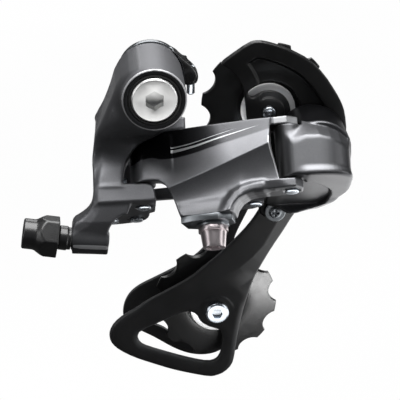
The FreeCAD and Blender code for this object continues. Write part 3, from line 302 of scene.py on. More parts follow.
def relax(field, points, faces, voxel):
    """Even out the vertices by sliding them along the surface."""
    edges = np.vstack([faces[:, [i, (i + 1) % 4]] for i in range(4)])
    edges = np.vstack([edges, edges[:, ::-1]])
    here, there = edges.T
    degree = np.bincount(here, minlength=len(points)).astype(float)
    for _ in range(RELAX_PASSES):
        sums = [np.bincount(here, points[there, i], len(points)) for i in range(3)]
        mean = np.stack(sums, 1) / degree[:, None]
        normal = gradient(field, points)
        normal /= np.maximum(np.linalg.norm(normal, axis=1), 1e-6)[:, None]
        move = (mean - points) * RELAX_SHARE
        move -= (move * normal).sum(1)[:, None] * normal
        points = project(field, points + move, voxel, 1)
    return points


def add_object(name, mesh):
    item = bpy.data.objects.new(name, mesh)
    bpy.context.scene.collection.objects.link(item)
    return item


def mesh_field(name, field, low, high, voxel):
    low, high = np.array(low, float), np.array(high, float)
    values = sample(field, low, high, voxel)
    cells, points = net_points(values)
    faces = net_faces(values, cells)
    points = project(field, low + points * voxel, voxel, 2)
    points = relax(field, points, faces, voxel)
    mesh = bpy.data.meshes.new(name)
    mesh.vertices.add(len(points))
    mesh.vertices.foreach_set("co", (points * MM).astype(np.float32).ravel())
    mesh.loops.add(faces.size)
    mesh.loops.foreach_set("vertex_index", faces.astype(np.int32).ravel())
    mesh.polygons.add(len(faces))
    mesh.polygons.foreach_set("loop_start", np.arange(0, faces.size, 4, dtype=np.int32))
    mesh.update(calc_edges=True)
    mesh.validate()
    mesh.polygons.foreach_set("use_smooth", np.ones(len(mesh.polygons), bool))
    mesh.update()
    return add_object(name, mesh)


# ---------------------------------------------------------------------------
# Upper knuckle: barrel, neck, tilted arm with two ears, adjuster boss
# ---------------------------------------------------------------------------
BARREL_RADIUS = 10.9
BARREL_OUTER, BARREL_INNER = -29.5, -2.9  # y of its two ends
ARM_BOTTOM, ARM_TOP = -46.0, -15.6        # heights
EAR_GAP = (-39.2, -21.0)                  # heights of the slot between the ears
ARM_FACE = 8.5                            # across, the arm's outer face
FLANK_DEPTH = 5.5                         # the flank slopes over this distance across

# (x, z)
NECK = soften([
    (-6.0, 8.5), (-11.6, 3.9), (-14.6, -3.8), (-17.6, -11.9), (-20.5, -19.4), (-20.4, -22.5),
    (-20.8, -30.0), (-9.0, -30.0), (-8.5, -25.5), (-5.5, -22.3), (0.5, -19.6), (6.0, -14.0),
    (9.5, -6.0), (8.0, 3.0), (0.0, 8.0)])
# (x, height)
ARM = [
    (12.0, -15.0), (12.0, -19.6), (3.0, -19.8), (0.0, -20.4), (-3.6, -21.4), (-6.5, -23.3),
    (-8.4, -25.9), (-9.9, -30.3), (-10.9, -36.2), (-11.0, -38.3), (-10.3, -38.7), (-2.6, -39.0),
    (-0.8, -39.8), (0.0, -41.5), (0.5, -45.2), (-1.0, -45.6), (-20.0, -46.0), (-26.0, -46.0),
    (-26.0, -15.0)]
# (x, across)
LOWER_EAR = soften([
    (-20.8, 9.5), (-6.6, 9.5), (-3.4, 9.9), (-1.0, 10.6), (-0.4, 14.0), (-0.9, 18.0),
    (-1.8, 22.0), (-1.3, 28.0), (-3.0, 33.0), (-9.5, 36.0), (-14.9, 37.0), (-20.8, 37.0)])
UPPER_EAR = soften([
    (-20.0, 8.5), (-4.5, 8.5), (0.2, 9.5), (1.2, 14.0), (0.0, 18.5), (-4.0, 24.0), (-8.5, 34.0),
    (-12.0, 37.0), (-20.0, 37.0)])
SIDE_WALL = [(-21.4, 10), (-19.6, 10), (-19.6, 37), (-21.4, 37)]
LINK_ROOM = [(-19.6, 24.6), (-10, 21.5), (12, 21.5), (12, 50), (-19.6, 50)]
# (x, z)
FOOT = soften([
    (-20.8, -35.0), (-21.2, -38.0), (-22.0, -41.0), (-23.6, -43.4), (-26.2, -45.4),
    (-28.6, -46.8), (-29.4, -49.5), (-29.4, -54.0), (-17.3, -54.6), (-17.0, -50.8),
    (-15.6, -47.4), (-13.0, -44.8), (-8.6, -43.8), (-8.6, -35.0)])
FOOT_RIDGE = [
    (-17.8, -34.0), (-18.6, -39.0), (-20.2, -43.4), (-23.6, -47.4), (-29.4, -50.4),
    (-29.6, -58.0), (-8.0, -58.0), (-8.0, -34.0)]
# Left (-X) limits: distances down, then x.
FLANK_FRONT = ([15.0, 19.0, 23.8, 31.1, 36.2, 42.8], [-14.2, -15.2, -16.6, -18.6, -19.7, -20.5])
FLANK_BACK = ([15.0, 20.0, 24.0, 30.0, 38.0], [-19.6, -20.1, -20.7, -21.2, -21.6])
LEFT_LIMIT = ([0.0, 10.0, 15.0, 20.0, 24.0, 30.0], [-30.0, -22.0, -19.7, -20.1, -20.7, -21.6])
# The foot's outer face: distances below the barrel's axis, then y.
FOOT_FACE = ([36.0, 38.5, 41.0, 46.0, 50.0, 54.0], [-20.5, -22.0, -24.0, -26.6, -27.4, -27.8])


def adjuster_foot(points):
    x, y, z = points.T
    foot_end = ADJUSTER_END - ADJUSTER_AXIS * 12.4
    boss = rod(points, ADJUSTER_END + ADJUSTER_AXIS * 0.15 + np.array([0, 0, -0.1]),
               foot_end + np.array([0, 0, -1.4]), 3.95, 0.35)
    boss = join(1.0, boss, rod(points, ADJUSTER_END + ADJUSTER_AXIS * 0.1, foot_end, 3.6, 0.3))
    face = np.interp(-z, *FOOT_FACE)
    face = face + 0.30 * np.clip(polygon(x, z, FOOT_RIDGE), 0, 4)
    foot = meet(1.0, polygon(x, z, FOOT), (face - y) * 0.9, y + 19.0)
    return join(1.6, foot, boss)


def upper_knuckle(points):
    x, y, z = points.T
    across, height = pin_coords(y, z)
    radius = np.hypot(x, z)
    barrel = extrude(radius - BARREL_RADIUS, y, BARREL_OUTER, BARREL_INNER, 0.35)

    # the neck's outer side slopes from the barrel's outer end back to the top of the arm
    neck = extrude(polygon(x, z, NECK), y, -26.0, BARREL_INNER, 1.6)
    neck = meet(4.0, neck, -0.700 * y - 0.714 * z - 24.6)
    neck = meet(3.0, neck, -x * 0.55 - y * 0.835 - 25.5)
    body = meet(0.3, join(4.0, barrel, neck), y - BARREL_INNER)

    # sloped left flank, shared by the arm and both ears
    front = np.interp(-height, *FLANK_FRONT)
    lean = np.interp(-height, *FLANK_BACK) - front
    edge = front + lean * np.clip((across - ARM_FACE) / FLANK_DEPTH, 0, 1)
    slope = (lean / FLANK_DEPTH) ** 2 * (across < ARM_FACE + FLANK_DEPTH)
    flank = (edge - x) / np.sqrt(1 + slope)

    # the arm's outer face curves back towards the left
    curl = 0.025 * np.clip(-10.5 - x, 0, 9) ** 2 * (1 - smoothstep(-height, 22.0, 37.0))
    arm = meet(0.9, polygon(x, height, ARM), ARM_FACE + curl - across, across - 24.5)
    arm = meet(1.6, arm, flank)
    lower = extrude(polygon(x, across, LOWER_EAR), height, ARM_BOTTOM, EAR_GAP[0], 0.7)
    lower = meet(0.8, lower, flank)
    upper = extrude(polygon(x, across, UPPER_EAR), height, EAR_GAP[1], ARM_TOP, 0.9)
    upper = meet(0.8, upper, flank)
    side = extrude(polygon(x, across, SIDE_WALL), height, ARM_BOTTOM, ARM_TOP, 0.6)

    solid = join(8.5, join(1.2, arm, upper, side), body)
    solid = meet(1.2, solid, np.interp(-height, *LEFT_LIMIT) - x)
    solid = join(0.3, solid, barrel)
    solid = join(0.7, solid, lower)
    solid = join(1.0, solid, adjuster_foot(points))

    cuts = [
        # stepped bore of the barrel
        extrude(radius - 7.25, y, -60, 10),
        extrude(radius - 9.7, y, -24.6, 10),
        extrude(radius - 9.02, y, -60, -28.0),
        extrude(radius - 8.2, y, -60, -27.0),
        # pin holes and the adjuster's hole
        extrude(circle(x, across, B_OUTER, 2.05), height, -60, -17.0),
        rod(points, ADJUSTER_START, ADJUSTER_END + ADJUSTER_AXIS * 3, 2.55),
        extrude(circle(x, across, B_INNER, 2.05), height, -60, -17.0),
        # room for the links between the ears
        extrude(circle(x, across, B_OUTER, 5.6), height, *EAR_GAP),
        extrude(polygon(x, across, LINK_ROOM), height, *EAR_GAP),
        # countersinks under the rivets
        extrude(circle(x, across, B_OUTER, 3.3), height, -50, -45.6),
        extrude(circle(x, across, (-6.1, 29.4), 2.9), height, -50, -45.6)]
    # two holes along x through the flank, each with a counterbore
    for hole in (13.2, 22.0):
        cuts.append(extrude(circle(across, height, (hole, -37.1), 1.4), x, -40, -6))
        cuts.append(extrude(circle(across, height, (hole, -37.1), 2.3), x, -40, -19.45))
    return carve(0.22, solid, *cuts)


# ---------------------------------------------------------------------------
# Outer link: faceted wall with an eye at each end and a seat below
# ---------------------------------------------------------------------------
LINK_BOTTOM = -53.1
LINK_TOP = -20.4
WALL_BACK = -2.5  # off

# (along, height)
WALL = soften([
    (-2.6, -37.9), (-2.3, -32.5), (-0.4, -27.6), (2.2, -23.8), (5.0, -21.6), (8.4, -20.5),
    (23.4, -20.3), (48.2, -20.3), (48.0, -21.5), (47.5, -26.9), (47.3, -30.5), (48.7, -38.0),
    (49.6, -43.0), (50.0, -46.6), (41.0, -46.4), (37.3, -46.9), (34.2, -48.7), (32.6, -51.0),
    (32.0, -53.1), (16.0, -53.1), (14.3, -52.0), (13.1, -49.0), (12.0, -45.5), (10.7, -42.2),
    (8.4, -39.2), (4.4, -38.2)])
RIM = [(43.5, -45.2), (40.6, -45.2), (37.4, -45.9), (34.4, -47.4), (32.3, -50.0), (31.0, -53.1)]
# (along, off)
EYE_WEB = [
    (-2.4, -4.0), (0, -6.5), (12, -5.6), (12, -2.5), (4.6, -1), (3.6, 2.2), (0, 4.2),
    (-4.0, -1.0)]
UPPER_TAB = [
    (44.0, -4.4), (47.9, -4.6), (LINK_LENGTH + 0.6, -4.2), (LINK_LENGTH + 4.0, -1.0),
    (LINK_LENGTH + 3.2, 3.0), (LINK_LENGTH, 4.2), (48.5, 3.6), (43.5, -1.0)]
LOWER_TAB = [
    (34.5, -3.4), (40.0, -5.6), (46.0, -6.6), (49.6, -6.4), (LINK_LENGTH + 2.4, -5.0),
    (LINK_LENGTH + 4.4, -1.6), (LINK_LENGTH + 3.6, 2.6), (LINK_LENGTH, 4.4), (47.5, 4.2),
    (41, 3.8), (35, 3.0)]
SEAT = [
    (14.6, -4.6), (31.8, -4.8), (32.4, -2.0), (31.4, 3.4), (27.5, 5.4), (21.0, 5.4), (16.0, 3.4),
    (14.4, -1.0)]
# Creases above and below the sloped band, and the lower field's curvature: along, then height
# or run.
UPPER_CREASE = ([-6, -2, 1, 4.5, 9, 15.6, 30.1, 47],
                [-31.6, -31.2, -30.6, -30.2, -31.2, -31.0, -28.2, -25.0])
LOWER_CREASE = ([-6, 4, 11.4, 22.3, 33.3, 47, 54],
                [-46.0, -44.0, -42.1, -38.8, -35.1, -30.4, -28.0])
FIELD_RUN = ([8, 14, 31, 36, 41, 50], [6.0, 12.0, 15.5, 15.0, 21.0, 24.0])


def link_face(along, height):
    """Off-plane position of the link's outer face."""
    upper = np.interp(along, *UPPER_CREASE)
    lower = np.interp(along, *LOWER_CREASE)
    above = np.clip(height - upper, 0, 20)
    band = np.clip((upper - height) / np.maximum(upper - lower, 3.0), 0, 1)
    below = np.clip(lower - height, 0, 40)
    run = np.interp(along, *FIELD_RUN)
    face = -5.3 + 0.03 * above - 1.75 * band
    face = face + 0.50 * below - (0.92 / (2 * run)) * below * below
    # rounded left end
    end = np.clip(2.2 - along, 0, 12)
    return face + 0.11 * end * end


def outer_link(points):
    along, off, height = link_coords(points)
    face = link_face(along, height)
    wall = meet(0.45, polygon(along, height, WALL), (face - off) * 0.93)
    wall = meet(0.5, wall, off - WALL_BACK)
    eye = extrude(circle(along, off, (0, 0), 4.2), height, -38.6, -21.5, 0.5)
    web = extrude(polygon(along, off, EYE_WEB), height, -38.3, -22.5, 0.8)
    web = meet(0.8, web, (face - off) * 0.9)
    solid = join(1.2, wall, join(1.5, eye, web))

    upper = extrude(polygon(along, off, UPPER_TAB), height, -23.3, LINK_TOP, 0.4)
    lower = extrude(polygon(along, off, LOWER_TAB), height, -46.6, -43.4, 0.45)
    lower = meet(0.4, lower, -off - (6.5 - 0.30 * np.clip(-43.6 - height, 0, 5)))
    rim = extrude(polyline(along, height, RIM) - 1.6, off, -6.5, 3.6, 1.1)
    seat = extrude(polygon(along, off, SEAT), height, LINK_BOTTOM, -48.4, 0.8)
    solid = join(0.7, solid, upper)
    solid = join(2.2, solid, rim)
    solid = join(0.8, solid, lower)
    solid = join(2.2, solid, seat)
    solid = meet(0.35, solid, -(height + 53.12))
    return carve(
        0.2, solid,
        # pin holes, hole in the seat, countersink under the P rivet
        circle(along, off, (0.0, 0.0), 2.06),
        circle(along, off, (LINK_LENGTH, 0.0), 2.06),
        extrude(circle(along, off, (24.4, 0.2), 2.5), height, -60, -46.0),
        extrude(circle(along, off, (LINK_LENGTH, 0.0), 2.75), height, -50, -46.35))


# ---------------------------------------------------------------------------
# Lower knuckle: drum round the cage axle, block for the P pins, lobe and fin
# ---------------------------------------------------------------------------
KNUCKLE_INNER = 0.05            # y of the inner face
PIN_HOUSING = (-42.9, -23.5)    # heights of the outer P pin's housing

# (x, across)
BODY = soften([
    (43.9, 3.0), (44.5, -3.5), (45.9, -7.0), (50.0, -8.2), (57.0, -8.5), (63.0, -7.2),
    (67.2, -4.2), (69.2, 1.5), (69.2, 8.0), (67.8, 15.5), (65.6, 22.5), (62.8, 30.0),
    (57.0, 38.0), (50.0, 44.0), (42.0, 44.0), (41.0, 30.0), (40.0, 19.0), (42.6, 9.0)], 2)
POCKET = soften([
    (43.0, 0.5), (52.7, 0.0), (57.5, 4.0), (61.8, 10.0), (63.0, 16.0), (62.7, 20.5),
    (61.5, 25.5), (59.0, 29.4), (53.0, 30.6), (36.0, 30.6), (36.0, 8.0)])
PIN_WEB = [
    (P_OUTER[0] - 3.4, P_OUTER[1] + 2.4), (P_OUTER[0] + 3.6, P_OUTER[1] - 1.0),
    (P_INNER[0] + 6.0, P_INNER[1] + 3.4), (P_INNER[0] - 2.0, P_INNER[1] - 2.2)]
# (x, z)
LOBE = soften([
    (45.5, -34.0), (44.9, -44.0), (45.4, -53.0), (48.6, -57.6), (52.4, -57.9), (56.8, -56.3),
    (60.5, -54.8), (66.2, -52.4), (70.2, -48.9), (72.6, -44.8), (72.6, -38.0), (62, -30)])
# (radius, degrees) about the cage axle, turned into (x, z)
FIN = [(CAGE_AXLE[0] + radius * math.cos(math.radians(degrees)),
        CAGE_AXLE[1] + radius * math.sin(math.radians(degrees)))
       for radius, degrees in ((21, 229), (30.5, 230.5), (32.3, 234), (32.6, 238),
                               (31.5, 240.8), (21, 240.8))]
# Top facet: x, then z at y = -15.6; x, then its slope along y.
TOP_HEIGHT = ([44, 46.4, 51.6, 56.8, 60.7, 64.6, 67.9],
              [-14.3, -13.9, -14.5, -15.5, -16.7, -18.6, -21.3])
TOP_SLOPE = ([44, 48, 52.4, 57, 61, 65], [0.45, 0.33, 0.14, 0.045, 0.03, 0.06])
# Right (+X) limit: y, then x.
RIGHT_LIMIT = ([-36, -25, -15, -8, 0], [68.2, 69.2, 70.6, 71.6, 73.0])


def lower_knuckle(points):
    x, y, z = points.T
    across, height = pin_coords(y, z)
    radius = circle(x, z, CAGE_AXLE, 0)
    cover = circle(x, z, (57.8, -27.8), 0)
    drum = np.minimum(extrude(cover - 12.95, y, -17.0, KNUCKLE_INNER, 0.5),
                      extrude(radius - 11.6, y, -17.0, KNUCKLE_INNER, 0.5))

    # block with a crisp lower edge and a sloped top facet
    body = polygon(x, across, BODY)
    top_z = np.interp(x, *TOP_HEIGHT) + np.interp(x, *TOP_SLOPE) * (y + 15.6)
    block = meet(0.8, body, (z - top_z) * 0.90)
    block = meet(0.8, block, -42.6 - height)
    lip = extrude(body - 0.5, height, -43.1, -41.2, 0.9)
    lip = meet(3.0, lip, 50.0 - x)
    block = join(2.0, block, lip)
    solid = join(0.6, drum, block)
    lobe = extrude(polygon(x - 0.062 * y, z + 0.40 * y, LOBE), y, -12.0, KNUCKLE_INNER, 1.6)
    solid = join(2.5, solid, lobe)

    # above the drum the block ends at y = -15.6
    behind = np.maximum(np.maximum(-15.6 - y, -36.0 - z), 13.0 - cover)
    solid = carve(0.5, solid, behind)
    solid = meet(2.2, solid, x - np.interp(y, *RIGHT_LIMIT))
    solid = carve(1.0, solid, extrude(polygon(x, across, POCKET), height, -60.0, -42.1, 0.6))

    outer_pin = extrude(circle(x, across, P_OUTER, 4.8), height, *PIN_HOUSING, 0.4)
    inner_pin = extrude(circle(x, across, P_INNER, 3.9), height, -43.7, -23.1, 0.4)
    web = extrude(polygon(x, across, PIN_WEB), height, *PIN_HOUSING, 0.5)
    solid = join(0.8, solid, join(1.0, outer_pin, inner_pin, web))
    solid = meet(0.3, solid, y - KNUCKLE_INNER)
    solid = meet(0.5, solid, radius - 27.0)

    # behind its outer skin the lobe leaves room for the head of the stop screw
    head_room = np.maximum(np.maximum(-4.6 - y, 24.2 - radius), z + 40.0)
    solid = carve(0.2, solid, head_room)
    fin = extrude(polygon(x, z, FIN), y, -2.5, KNUCKLE_INNER, 0.3)
    return carve(
        0.25, np.minimum(solid, fin),
        # axle bore, pin holes, room for the outer link's tabs
        extrude(radius - 9.35, y, -16.6, 10),
        circle(x, across, P_OUTER, 2.04),
        circle(x, across, P_INNER, 2.04),
        extrude(circle(x, across, P_OUTER, 5.0), height, -52.0, PIN_HOUSING[0]),
        extrude(circle(x, across, P_OUTER, 5.0), height, PIN_HOUSING[1], -16.0))


# ---------------------------------------------------------------------------
# Adjuster knob with its tube, detent collar, stop screw
# ---------------------------------------------------------------------------
STEM_RADIUS = 5.35
HEX_HALF_WIDTH = 6.55
HEX_TURN = math.radians(20.0)


def adjuster_knob(points):
    along, offset = about_axis(points, ADJUSTER_START, ADJUSTER_AXIS)
    level = np.array([0.0, 1.0, 0.0])
    x, z = offset @ level, offset @ np.cross(ADJUSTER_AXIS, level)
    radius = np.hypot(x, z)
    sector = math.pi / 3
    angle = (np.arctan2(z, x) - HEX_TURN + sector / 2) % sector - sector / 2
    hexagon = meet(0.2, radius * np.cos(angle) - HEX_HALF_WIDTH, radius - 7.5)
    hub = extrude(hexagon, along, 3.0, 12.4, 0.3)
    hub = meet(0.25, hub, (radius - (STEM_RADIUS + 0.62 * (along - 4.3))) * 0.85)
    stem = extrude(radius - STEM_RADIUS, along, 0.0, 8.0, 0.7)
    tube = extrude(radius - 2.42, along, 6.0, 29.6, 0.2)
    solid = np.minimum(join(0.35, stem, hub), tube)
    # cable socket with a flared mouth, then the bore
    mouth = 3.3 - 0.8 * np.clip(along, 0, 2)
    solid = carve(0.2, solid, extrude(radius - 2.1, along, -5.0, 9.0),
                  extrude(radius - mouth, along, -5.0, 1.5))
    return carve(0.1, solid, radius - 1.25)


def adjuster_collar(points):
    along, offset = about_axis(points, ADJUSTER_START, ADJUSTER_AXIS)
    radius = np.linalg.norm(offset, axis=1)
    solid = extrude(radius - 4.3, along, 12.65, 15.7, 0.35)
    for ring in (16.05, 16.65):
        solid = join(0.15, solid, circle(radius, along, (3.6, ring), 0.36))
    return carve(0.1, solid, radius - 2.5)


def stop_screw(points):
    y = points[:, 1]
    x, z = points[:, 0] - STOP_SCREW[0], points[:, 2] - STOP_SCREW[1]
    radius = np.hypot(x, z)
    shaft = extrude(radius - 1.9, y, -3.4, 1.0, 0.2)
    flange = extrude(radius - 3.9, y, -3.6, -2.7, 0.25)
    flange = carve(0.2, flange, np.hypot(radius, (y + 5.6) * 1.4) - 3.3)
    head = extrude(radius - 2.1, y, -4.5, -3.0, 0.5)
    slots = [extrude(np.maximum(np.abs(thin) - 0.32, np.abs(wide) - 1.3), y, -6, -3.8)
             for thin, wide in ((x, z), (z, x))]
    head = carve(0.15, head, np.minimum(*slots))
    return join(0.1, np.minimum(shaft, flange), head)


# ---------------------------------------------------------------------------
# Outer cage plate: guard round the guide pulley, window at the tension pulley
# ---------------------------------------------------------------------------
# (x, z)
PLATE = soften([
    (25.3, 1.3), (27.4, 3.1), (35.2, 8.6), (38.5, 9.2), (42.6, 8.3), (49.1, 5.9), (57.1, 1.4),
    (62.7, -4.7), (66.9, -11.3), (68.9, -14.9), (70.3, -18.8), (71.3, -26.3), (70.6, -34),
    (66.8, -42), (60.5, -50), (52.9, -60), (49.3, -66.6), (45.4, -72.8), (42.3, -78.8),
    (39.2, -85.5), (36.5, -91.7), (34.7, -98), (33, -105.9), (31.7, -114.6), (31.3, -119.5),
    (30.3, -123.9), (27.5, -127.1), (24.2, -128.6), (21.3, -128.9), (14.6, -127.2),
    (7, -124.9), (-0.9, -121.7), (-8, -118.6), (-13.5, -115.1), (-16.2, -112.2),
    (-17.2, -109.5), (-17, -106.7), (-15.1, -103.1), (-11.3, -99.8), (-6.6, -97.1),
    (-1.9, -93.6), (4.6, -90.2), (13.9, -84.8), (19, -80.4), (24.1, -76), (29.1, -71),
    (34.1, -65.6), (37.4, -61.2), (40.1, -56.6), (43.0, -50.0), (44.2, -44.0), (43.6, -37.0),
    (41.0, -31.0), (36.8, -27.0), (34.6, -21.0), (34.0, -14.0), (33.3, -8.8), (31.2, -4.2),
    (29.0, -1.6), (27.0, -0.2), (25.7, 0.5)])
WINDOW = soften([
    (-5.3, -106.8), (-6.5, -109.5), (-5.4, -112.5), (-2.6, -114.3), (7.2, -118.1),
    (14.7, -120.7), (20.9, -122.3), (24.2, -121.4), (25.9, -118.2), (26.5, -113),
    (26.3, -108.6), (24.4, -107.4), (20.5, -106), (17.8, -103.7), (16.4, -100.4),
    (12.6, -98.6), (5.0, -102.2)])
FLANGE_CREASE = [
    (49.5, -56.5), (46.9, -61.6), (45.1, -65.3), (41.9, -71.5), (37.6, -76.6), (32.6, -81.0),
    (25.8, -84.9), (18.3, -88.1), (13.9, -89.4), (6, -91.5)]
SLOT_RADIUS, SLOT_HALF_WIDTH = 9.7, 1.8  # arched slot about the guide pulley
SLOT_ANGLES = (2, 128)                   # degrees
PLATE_BACK = 2.8                         # y


def arched_slot(x, z):
    radius = circle(x, z, GUIDE, 0)
    angle = np.degrees(np.arctan2(z - GUIDE[1], x - GUIDE[0]))
    ends = []
    for degrees in SLOT_ANGLES:
        turn = math.radians(degrees)
        centre = (GUIDE[0] + SLOT_RADIUS * math.cos(turn), GUIDE[1] + SLOT_RADIUS * math.sin(turn))
        ends.append(circle(x, z, centre, 0))
    within = (angle > SLOT_ANGLES[0]) & (angle < SLOT_ANGLES[1])
    gap = np.where(within, np.abs(radius - SLOT_RADIUS), np.minimum(*ends))
    return gap - SLOT_HALF_WIDTH


def flange_lean(x, z):
    """Inward (+Y) lean of the flange beyond the crease."""
    crease_x = np.interp(-z, [-point[1] for point in FLANGE_CREASE],
                         [point[0] for point in FLANGE_CREASE])
    beyond = (x > crease_x) & (z < -52) & (z > -118)
    lean = np.where(beyond, polyline(x, z, FLANGE_CREASE), 0.0)
    lean = lean * smoothstep(-z, 52.0, 60.0) * (1 - smoothstep(-z, 92.0, 104.0))
    clear = smoothstep(circle(x, z, TENSION, 0), 11.0, 21.0)
    return np.minimum(lean, 7.5) * 0.30 * clear * smoothstep(x, 6.0, 22.0)


def outer_plate(points):
    x, y, z = points.T
    plate = polygon(x, z, PLATE)
    window = polygon(x, z, WINDOW)
    guide = circle(x, z, GUIDE, 0)
    tension = circle(x, z, TENSION, 0)

    # outer face: raised border of the guard round a dished middle
    guard = smoothstep(z, -34.0, -26.0)
    dish = smoothstep(-plate, 5.6, 6.6)
    face = 1.0 - guard * 0.75 * (1 - dish) + guard * 0.35 * dish
    face = face + guard * dish * 0.35 * np.exp(-((guide - 15.5) / 3.0) ** 2)
    # rounded bead round the window
    lower = smoothstep(-z, 92.0, 99.0)
    bead = np.clip(np.minimum(-plate, window) / 2.6, 0, 1)
    face = face - lower * 0.75 * (1 - (1 - bead) ** 2)
    face = face - (1 - lower) * (1 - guard) * 0.12
    # raised bosses at both pulleys
    for radius, reach, top, foot in ((tension, 8.5, 6.5, 6.9), (guide, 9, 5.4, 6.2)):
        boss = 0.25 + smoothstep(radius, top, foot) * 2
        face = np.where(radius < reach, np.minimum(face, boss), face)
    lean = flange_lean(x, z)
    face = face + lean

    solid = meet(0.45, plate, (face - y) * 0.93)
    solid = meet(0.35, solid, (y - (PLATE_BACK + lean)) * 0.95)
    solid = carve(0.5, solid, window)
    solid = carve(0.4, solid, arched_slot(x, z))
    return carve(0.15, solid, guide - 2.52, tension - 2.52, circle(x, z, CAGE_AXLE, 5.05))


# ---------------------------------------------------------------------------
# Stop plate on the barrel's inner end, with its lug
# ---------------------------------------------------------------------------
STOP_RADIUS = 11.35
STOP_OUTER = -2.2  # y of its outer face; the inner face is at 0
# (x, z)
STOP_ARM = [(0, -3.0), (12.9, -3.0), (12.9, 5.0), (0, 7.0)]
STOP_TAB = [(-9.5, -4.5), (-5.0, -9.4), (-9.0, -13.6), (-13.2, -9.8)]
STOP_LUG = soften([
    (7.0, 9.0), (9.0, 8.0), (10.2, 6.6), (12.6, 4.6), (15.0, 2.4), (16.2, 0.0), (16.4, -2.4),
    (15.8, -4.0), (11.6, -4.2), (11.2, -1.0), (9.5, 2.0), (6.0, 6.0)])


def stop_plate(points):
    x, y, z = points.T
    radius = np.hypot(x, z)
    sections = (radius - STOP_RADIUS, polygon(x, z, STOP_ARM), polygon(x, z, STOP_TAB))
    flat = [extrude(section, y, STOP_OUTER, 0.0, 0.25) for section in sections]
    lug = extrude(polygon(x, z, STOP_LUG), y, -5.4, 0.0, 1.3)
    lug = join(1.5, lug, extrude(circle(x, z, (13.4, -1.4), 2.9), y, -5.4, 0.0, 1.3))
    # the lug keeps clear of the barrel
    lug = np.maximum(lug, -extrude(radius - STOP_RADIUS, y, -20, -2.35))
    solid = join(0.6, join(0.8, *flat), lug)
    return carve(0.2, solid, radius - 5.23, circle(x, y, (14.1, -2.9), 1.5))


# ---------------------------------------------------------------------------
# Shader building
# ---------------------------------------------------------------------------
def math_operator(operation, swapped=False):
    def build(value, other):
        pair = (other, value) if swapped else (value, other)
        return value.shader.math(operation, *pair)
    return build


class Value:
    """Output socket; arithmetic and comparisons on it add Math nodes."""

    def __init__(self, shader, socket):
        self.shader = shader
        self.socket = socket

    __add__ = math_operator("ADD")
    __radd__ = math_operator("ADD", swapped=True)
    __sub__ = math_operator("SUBTRACT")
    __rsub__ = math_operator("SUBTRACT", swapped=True)
    __mul__ = math_operator("MULTIPLY")
    __truediv__ = math_operator("DIVIDE")
    __gt__ = math_operator("GREATER_THAN")
    __lt__ = math_operator("LESS_THAN")


